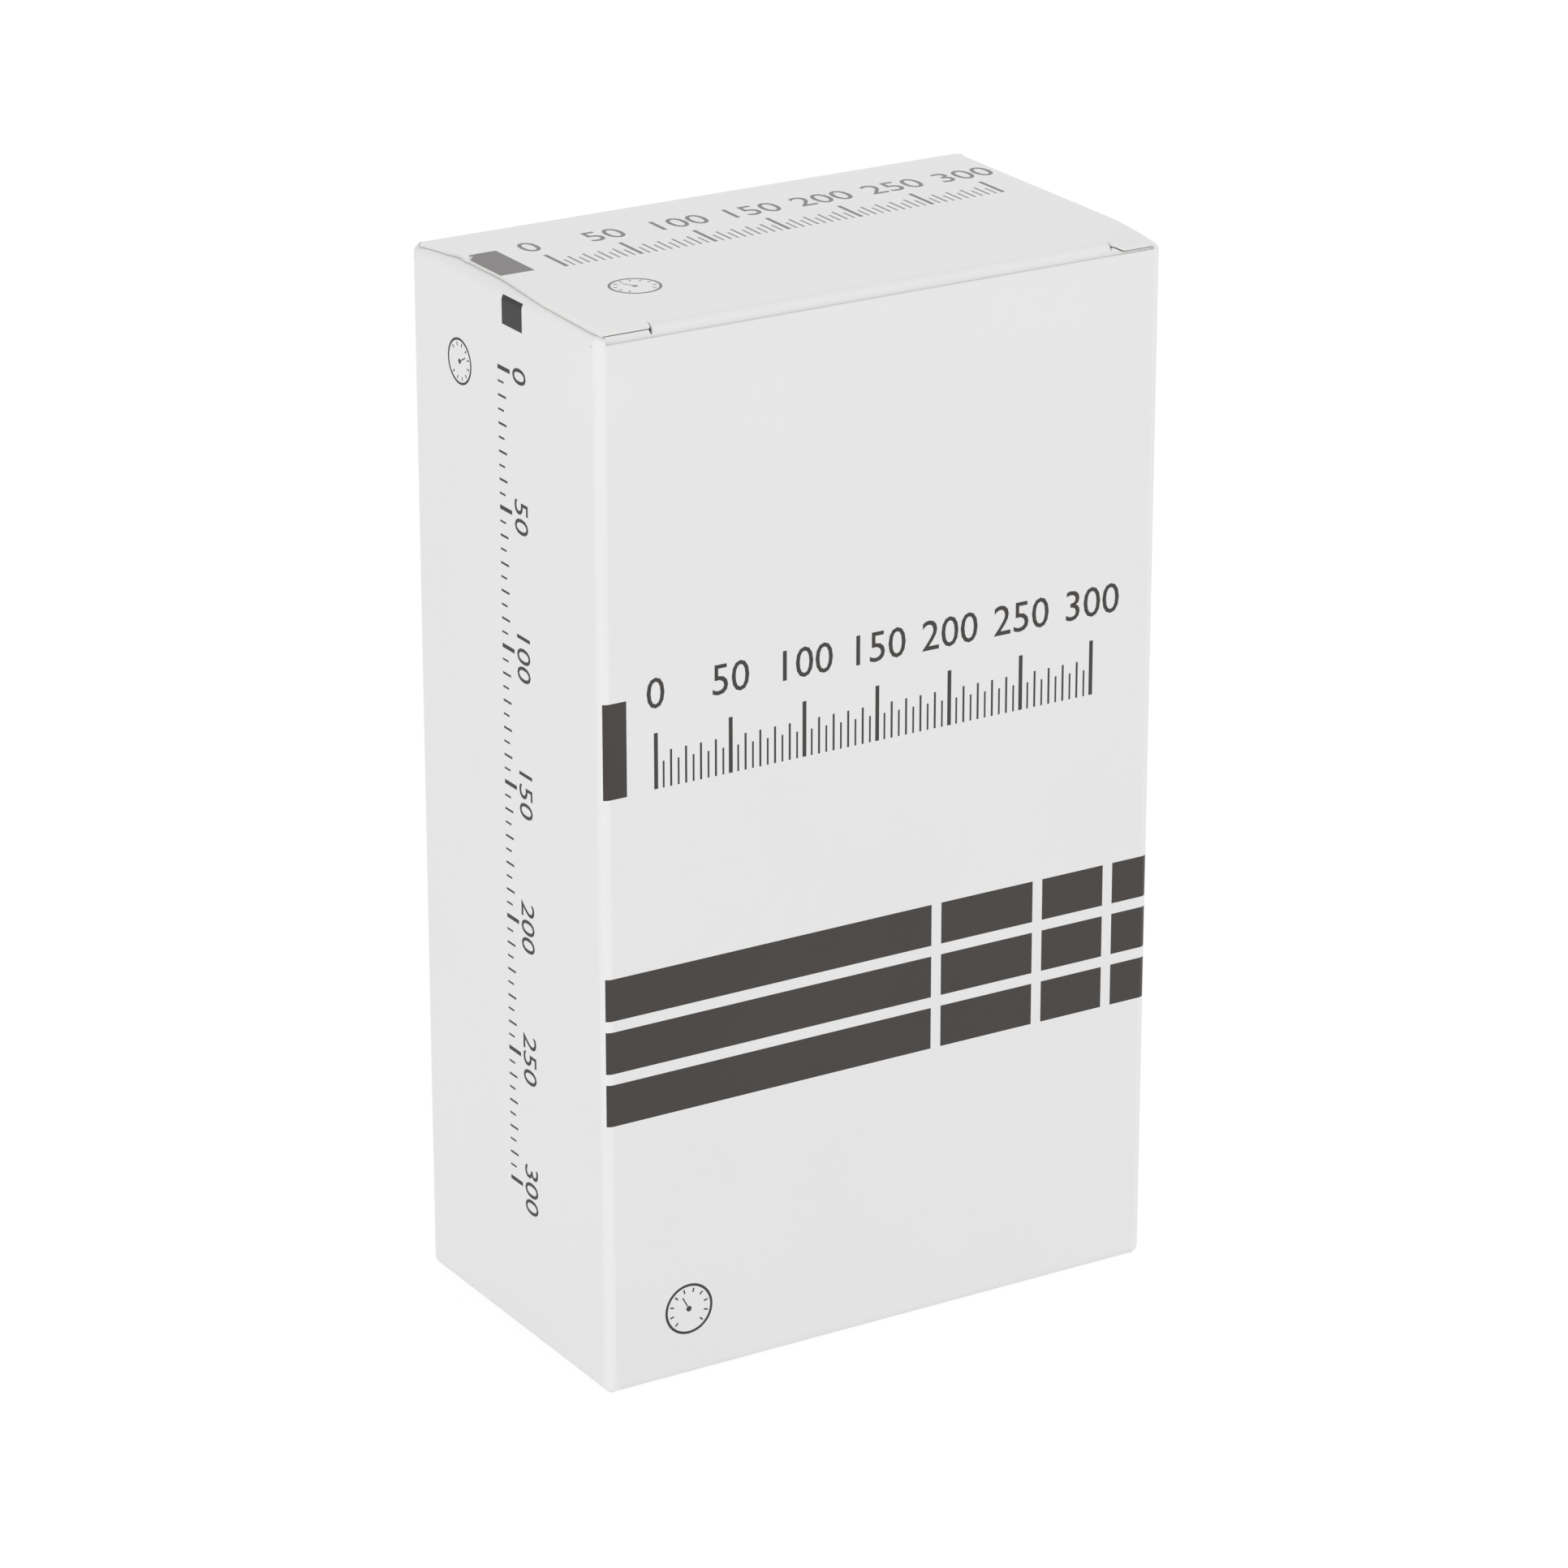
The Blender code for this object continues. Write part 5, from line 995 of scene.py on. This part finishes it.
def make_gauge(black, chrome, glass):
    """The gauge's cup, bezel, domed lens, printed dial and pointer."""
    at = (GAUGE_X, GAUGE_Y, CASE_BASE)
    cup = (
        (0, 1.5), (20.3, 1.5), (20.3, 11.1), (21.1, 11.1), (21.1, 16.9), (21.6, 16.9),
        (21.6, 19.8), (22.5, 19.8), (22.5, 1.8), (20.7, 0), (0, 0),
    )
    turned("gauge_cup", cup, at, black, ["gauge_case"], radius=0.4)
    ring = (
        (21.2, 23.8), (23.2, 23.8), (23.8, 23.2), (23.8, 16.8), (22.8, 16.8), (22.8, 22.8),
        (20.7, 22.8),
    )
    turned("bezel_ring", ring, at, chrome, ["gauge_bezel"], radius=0.5)
    dome = (
        (0, 21.1), (22.4, 21.1), (22.4, 22.2), (20.6, 22.5), (17.0, 22.8), (11.0, 23.1),
        (5.0, 23.25), (0, 23.3),
    )
    turned("domed_lens", dome, at, glass, ["gauge_lens"], sharp=60.0)
    disc = ((0.9, 17.2), (21.3, 17.2), (21.3, 17.7), (0.9, 17.7))
    face = dial_skin()
    turned("dial_disc", disc, at, face, ["gauge_dial"], radius=0.05)
    figures = []
    for value in range(0, SCALE_TOP_VALUE + 1, DIAL_STEP):
        place = math.radians(ZERO_ANGLE - value)
        across, up = DIAL_NUMBER_RADIUS * math.sin(place), -DIAL_NUMBER_RADIUS * math.cos(place)
        figures.append(number(value, DIAL_NUMBER, (across, up - DIAL_NUMBER_DROP)))
    top = (GAUGE_X, GAUGE_Y, CASE_BASE + DIAL_TOP + INK_LIFT)
    lay = panel_lay(top, (0, 1, 0), (-1, 0, 0), (0, 0, 1))
    print_piece("dial_figures", figures, lay, "carton", black)
    hand = np.array([(-5.0, -1.1), (-3.4, -0.6), (5.0, -0.5), (16.0, -0.1), (16.5, 0.0)]) / 1000
    hand = np.concatenate([hand, hand[-2::-1] * (1, -1)])
    rest = math.radians(ZERO_ANGLE)
    right, up = (math.cos(rest), math.sin(rest), 0), (-math.sin(rest), math.cos(rest), 0)
    lay = panel_lay((GAUGE_X, GAUGE_Y, CASE_BASE + HAND_LEVEL), right, up, (0, 0, 1))
    plate = [outlined([hand], 0.0002)]
    print_piece("pointer_hand", plate, lay, "pointer", black, ["gauge_pointer"])
    hub = ((0, 0), (2.0, 0), (2.0, 0.6), (1.4, 0.9), (0, 1.0))
    at = (GAUGE_X, GAUGE_Y, CASE_BASE + HUB_BASE)
    turned("pointer_hub", hub, at, black, body="pointer")


def make_bulb(rubber):
    """The bulb: r = neck + swell sin(pi s^0.9)^0.75 between its necks, with rolled rims, two seams."""
    marks = (0, BULB_NECK, BULB_LENGTH - BULB_NECK, BULB_LENGTH)
    parts = [np.linspace(low, high, count) for low, high, count in zip(marks, marks[1:], (14, 60, 14))]
    z = np.unique(np.concatenate(parts))
    share = np.clip((z - BULB_NECK) / (BULB_LENGTH - 2 * BULB_NECK), 0, 1)
    body = BULB_NECK_RADIUS + BULB_SWELL * np.sin(np.pi * share**0.9) ** 0.75
    places = (RIM_PLACE, BULB_LENGTH - RIM_PLACE)
    rims = sum(np.exp(-(((z - place) / RIM_WIDTH) ** 2)) for place in places)
    turn = np.linspace(0, 2 * np.pi, ROUND_STEPS, endpoint=False)[:, None]
    seam = SEAM * np.exp(-((np.sin(turn) / SEAM_WIDTH) ** 2))
    reaches = (body + RIM * rims + seam, np.maximum(body - BULB_WALL, BULB_BORE))
    faces = [
        join(BULB_X + reach * np.cos(turn), reach * np.sin(turn), BULB_BASE + z) for reach in reaches
    ]
    shell("squeeze_bulb", *faces, "carton", rubber, "black_rubber", ["inflation_bulb"], wrap=True)


def make_valve(chrome, rubber):
    """The release valve on the bulb's upper neck, its boss and its fluted thumbscrew."""
    at, side = (BULB_X, 0.0, 0.0), (BULB_X, 0.0, SCREW_LEVEL)
    column = (
        (0.8, 123.5), (1.2, 123.5), (1.5, 120.6), (1.2, 119.7), (1.5, 116.8), (1.2, 115.8),
        (1.5, 113.0), (1.2, 112.0), (4.6, 112.0), (5.2, 111.2), (5.2, 95.0), (7.2, 95.0),
        (7.2, 93.4), (4.6, 93.4), (4.6, 82.2), (0.8, 82.2),
    )
    node = ["release_valve_body"]
    turned("valve_column", column, at, chrome, node, radius=0.3)
    boss = ((2.0, 2.6), (3.6, 2.6), (3.6, 8.5), (2.0, 8.5))
    turned("valve_boss", boss, side, chrome, forward=True)
    screw = (
        (0, 1.6), (1.7, 1.6), (1.7, 8.8), (2.8, 8.8), (2.8, 9.8), (5.2, 9.8), (5.2, 15.8),
        (4.0, 15.8), (3.6, 15.4), (0, 15.4),
    )
    turned(
        "fluted_screw", screw, side, chrome, ["valve_thumbscrew"],
        steps=216, flutes=(18, 0.4, 4), forward=True, body="thumbscrew",
    )
    seal = ((5.2, 92.5), (7.2, 92.5), (7.2, 93.1), (5.2, 93.1))
    turned("seal_washer", seal, at, rubber, ["valve_seal_ring"], radius=0.3)


# Hoses


def smooth_route(knots, each):
    """A line by the knots in even steps, straight in the grips at both ends and eased between.

    Between knots b and c, with a before and d after, at t from 0 to 1:
    (2b + (c - a) t + (2a - 5b + 4c - d) t^2 + (3b - a - 3c + d) t^3) / 2. Easing then moves each
    point again and again towards the middle of its neighbours.
    """
    knots = np.concatenate(knots)
    knots = np.concatenate([[2 * knots[0] - knots[1]], knots, [2 * knots[-1] - knots[-2]]])
    a, b, c, d = (knots[k : len(knots) - 3 + k, None] for k in range(4))
    t = (np.arange(each) / each)[None, :, None]
    line = 2 * b + (c - a) * t + (2 * a - 5 * b + 4 * c - d) * t**2 + (3 * b - a - 3 * c + d) * t**3
    line = np.concatenate([line.reshape(-1, 3) / 2, knots[-2:-1]])
    run = length_along(line)
    even = np.linspace(0.0, run[-1], round(run[-1] / HOSE_STEP))
    line = join(*(np.interp(even, run, places) for places in line.T))
    ends = np.minimum(even, even[-1] - even)
    free = unit((ends - HOSE_GRIP) / EASING_RAMP)[1:-1, None] / 2
    for _ in range(HOSE_EASING):
        line[1:-1] += free * ((line[:-2] + line[2:]) / 2 - line[1:-1])
    return line


def make_hose(name, knots, rubber):
    """A hose: rings about the route, their directions carried along, a little fuller on its barbs."""
    route = smooth_route(knots, 10)
    tangents = np.gradient(route, axis=0)
    tangents /= np.linalg.norm(tangents, axis=1)[:, None]
    side = np.array(FIRST_SIDE)
    sides = []
    for tangent in tangents:
        side = side - tangent * (side @ tangent)
        side = side / np.linalg.norm(side)
        sides.append(side)
    sides = np.array(sides)
    run = length_along(route)
    ends = np.minimum(run, run[-1] - run)
    swell = HOSE_SWELL * unit((HOSE_GRIP - ends) / SWELL_RAMP)
    full = 1 + swell - HOSE_NIP * unit(1 - ends / NIP_RAMP)
    turn = np.linspace(0, 2 * np.pi, HOSE_SIDES, endpoint=False)[:, None, None]
    spoke = np.cos(turn) * sides + np.sin(turn) * np.cross(tangents, sides)
    faces = [route + spoke * (reach * full)[:, None] for reach in (HOSE_RADIUS, HOSE_BORE)]
    piece = shell(name + "_rubber", *faces, "carton", rubber, "black_rubber", [name], wrap=True)


def make_hoses(rubber):
    """The gauge's hose, looped above the bulb, and the bulb's hose over to the roll."""
    stem = join(STEM_TIP + HOSE_GRIP * np.array((0, 1, 1.3)), GAUGE_Y, STEM_LEVEL)
    spout = join(BULB_X, 0.0, SPOUT + HOSE_GRIP * np.array((0, 1, 1.4)))
    rise = PORT_TIP + HOSE_GRIP * np.array((1.6, 1, 0))
    ports = [join(*port_place(turn)[:2], rise) for turn in PORT_TURNS]
    share = np.linspace(0, 1, LOOP_KNOTS)
    angle = np.radians(LOOP_START - LOOP_SWEEP * share)
    x, y = LOOP_X + LOOP_RADIUS * np.cos(angle), LOOP_RADIUS * np.sin(angle)
    loops = join(x, y, LOOP_TOP - LOOP_FALL * share)
    # Free knots of each hose in millimetres
    turn_in = np.array([(12.5, 12.5, 154)]) / 1000
    arch = np.array([
        (9.5, -19, 105), (1.5, -19, 115), (-1.5, -20, 133), (-5, -22.5, 156),
        (-8.5, -24.3, 174), (-14, -25.3, 181.5), (-21.5, -24.6, 183.5), (-27.5, -22, 178),
    ]) / 1000
    over = np.array([
        (35.7, -0.5, 150), (31, -2, 168), (21, -5.5, 187),
        (6, -10, 196.5), (-9, -14, 195), (-18.5, -16.5, 184),
    ]) / 1000
    make_hose("gauge_hose", [stem, turn_in, loops, arch, ports[0]], rubber)
    make_hose("bulb_hose", [spout, over, ports[1]], rubber)


# Finishes of the contents


def shaded(colour, share, lift=0.0):
    return tuple(part * share + lift for part in colour)


def fabric(name, colour, roughness, scale):
    """Woven cloth: fine threads both ways, a little uneven in colour."""
    skin, tree = base_skin(name, Roughness=roughness, Sheen_Weight=0.15)
    threads = object_place(tree).noise(scale, 2.0, 0.6)
    tint = threads.mix(shaded(colour, 0.75), shaded(colour, 1.25))
    return wire(skin, Base_Color=tint, Normal=tree.bump(threads, 0.35, 0.0002))


def moulded(name, colour, roughness):
    """Moulded rubber or enamel: a soft grain and faint wear in the gloss."""
    skin, tree = base_skin(name, IOR=1.5)
    place = object_place(tree)
    cloud, grain = place.noise(60.0, 3.0), place.noise(1500.0, 2.0)
    tint = cloud.mix(shaded(colour, 0.85), shaded(colour, 1.2, 0.002))
    shine = cloud * 0.12 + (roughness - 0.06)
    return wire(skin, Base_Color=tint, Roughness=shine, Normal=tree.bump(grain, 0.06, 0.0001))


def metal(name, colour, roughness):
    """Bare or plated metal, its gloss a little uneven."""
    skin, tree = base_skin(name, Base_Color=colour, Metallic=1.0)
    return wire(skin, Roughness=object_place(tree).noise(90.0, 3.0) * 0.10 + (roughness - 0.03))


def dial_skin():
    """White enamel with ticks: value = (-30 degrees - angle) mod 360, clockwise, 1 unit a degree."""
    skin, tree = base_skin("white_enamel_dial", Roughness=0.35)
    x, y, _ = object_place(tree).parts()
    x, y = x - GAUGE_X, y - GAUGE_Y
    reach = x.math("SQRT", x * x + y * y)
    value = (ZERO_ANGLE - x.math("ARCTAN2", y, x) * (180.0 / math.pi)) % 360.0
    marks = None
    for step, inner, broad in DIAL_TICKS:
        near = value.off_step(step) * reach < broad / 2 * 180.0 / math.pi
        mark = near * reach.between(inner, DIAL_EDGE)
        marks = marks.most(mark) if marks else mark
    marks = marks.most(reach.between(*DIAL_RIM)) * value.between(*DIAL_ENDS)
    return wire(skin, Base_Color=marks.mix(PAINT_WHITE, PAINT_BLACK))


def make_contents():
    rubber = moulded("black_rubber", (0.026, 0.026, 0.027), 0.50)
    enamel = moulded("black_enamel", (0.020, 0.020, 0.022), 0.36)
    chrome = metal("chrome_plate", (0.62, 0.62, 0.63), 0.14)
    steel = metal("spring_steel", (0.50, 0.50, 0.51), 0.28)
    brass = metal("movement_brass", (0.55, 0.40, 0.16), 0.30)
    clear = {"Base_Color": (0.97, 0.98, 0.98), "Roughness": 0.03, "Transmission_Weight": 1.0}
    glass, _ = base_skin("clear_lens", IOR=1.49, **clear)
    make_cuff(rubber)
    make_port("bladder_port_front", PORT_TURNS[0], rubber)
    make_port("bladder_port_side", PORT_TURNS[1], rubber)
    make_gauge(enamel, chrome, glass)
    make_bulb(rubber)
    make_valve(chrome, rubber)
    make_hoses(rubber)
    # CAD nodes that keep their shape and get a better finish
    kept = (
        (rubber, "lens_gasket"),
        (chrome, "inlet_stem intake_valve_body"),
        (steel, "spring_clip hairspring intake_valve_ball push_pin capsule_lower capsule_upper"),
        (brass, "movement_plate movement_bridge sector_gear rocker pointer_arbor"),
    )
    for skin, nodes in kept:
        for node in nodes.split():
            for slot in bpy.data.objects[node].material_slots:
                slot.material = skin


# Stage


def make_camera():
    data = bpy.data.cameras.new("camera")
    data.lens = CAMERA_LENS
    data.sensor_width = 36.0
    data.clip_end = 20.0
    item = in_scene("camera", data)
    across, level = math.sin(CAMERA_AZIMUTH), math.cos(CAMERA_ELEVATION)
    back = Vector((-level * across, -level * math.cos(CAMERA_AZIMUTH), math.sin(CAMERA_ELEVATION)))
    item.location = CAMERA_AIM + back * CAMERA_DISTANCE
    item.rotation_euler = back.to_track_quat("Z", "Y").to_euler()
    bpy.context.scene.camera = item


def make_lamp(name, place, aim, power):
    data = bpy.data.lights.new(name, "AREA")
    data.shape = "DISK"
    data.size = LAMP_SIZE
    data.energy = power
    item = in_scene(name, data)
    item.location = place
    item.rotation_euler = (Vector(place) - Vector(aim)).to_track_quat("Z", "Y").to_euler()


def shown_white(tree):
    """1 for what the camera sees, also in metal and through glass, else 0."""
    ways = tree.add("ShaderNodeLightPath").socket.node.outputs
    kinds = ("Camera", "Glossy", "Transmission")
    camera, glossy, through = (Socket(tree.tree, ways[f"Is {kind} Ray"]) for kind in kinds)
    return camera.most(glossy).most(through)


def make_floor():
    """A white floor that keeps the carton's soft shadow and meets the white behind it."""
    mesh = bpy.data.meshes.new("floor")
    corners = [(x * FLOOR_REACH, y * FLOOR_REACH, 0) for x, y in ((-1, -1), (1, -1), (1, 1), (-1, 1))]
    mesh.from_pydata(corners, [], [(0, 1, 2, 3)])
    skin, tree = base_skin("white_floor", Base_Color=(0.90, 0.90, 0.90), Roughness=0.9)
    nodes, links = skin.node_tree.nodes, skin.node_tree.links
    bright = {"Color": (1.0, 1.0, 1.0, 1.0), "Strength": FLOOR_GLOW}
    glow = tree.add("ShaderNodeEmission", None, bright)
    plain = Socket(tree.tree, nodes["Principled BSDF"].outputs[0])
    share = shown_white(tree) * FLOOR_SHOWN + FLOOR_UNSEEN
    mixed = tree.add("ShaderNodeMixShader", None, {0: share, 1: plain, 2: glow})
    links.new(mixed.socket, nodes["Material Output"].inputs[0])
    mesh.materials.append(skin)
    in_scene("floor", mesh)


def make_world():
    """Even white light all round, and pure white where the camera, metal or glass shows it."""
    world = bpy.data.worlds.new("studio")
    bpy.context.scene.world = world
    world.use_nodes = True
    light = world.node_tree.nodes["Background"]
    light.inputs["Color"].default_value = (1.0, 1.0, 1.0, 1.0)
    strength = shown_white(Socket(world.node_tree)) * (1.0 - WORLD_LIGHT) + WORLD_LIGHT
    world.node_tree.links.new(strength.socket, light.inputs["Strength"])


def make_stage():
    make_camera()
    make_floor()
    make_world()
    for name, (place, aim, power) in LAMPS.items():
        make_lamp(name, place, aim, power)
    bpy.context.scene.view_settings.view_transform = "Standard"


make_stage()
make_carton()
make_contents()
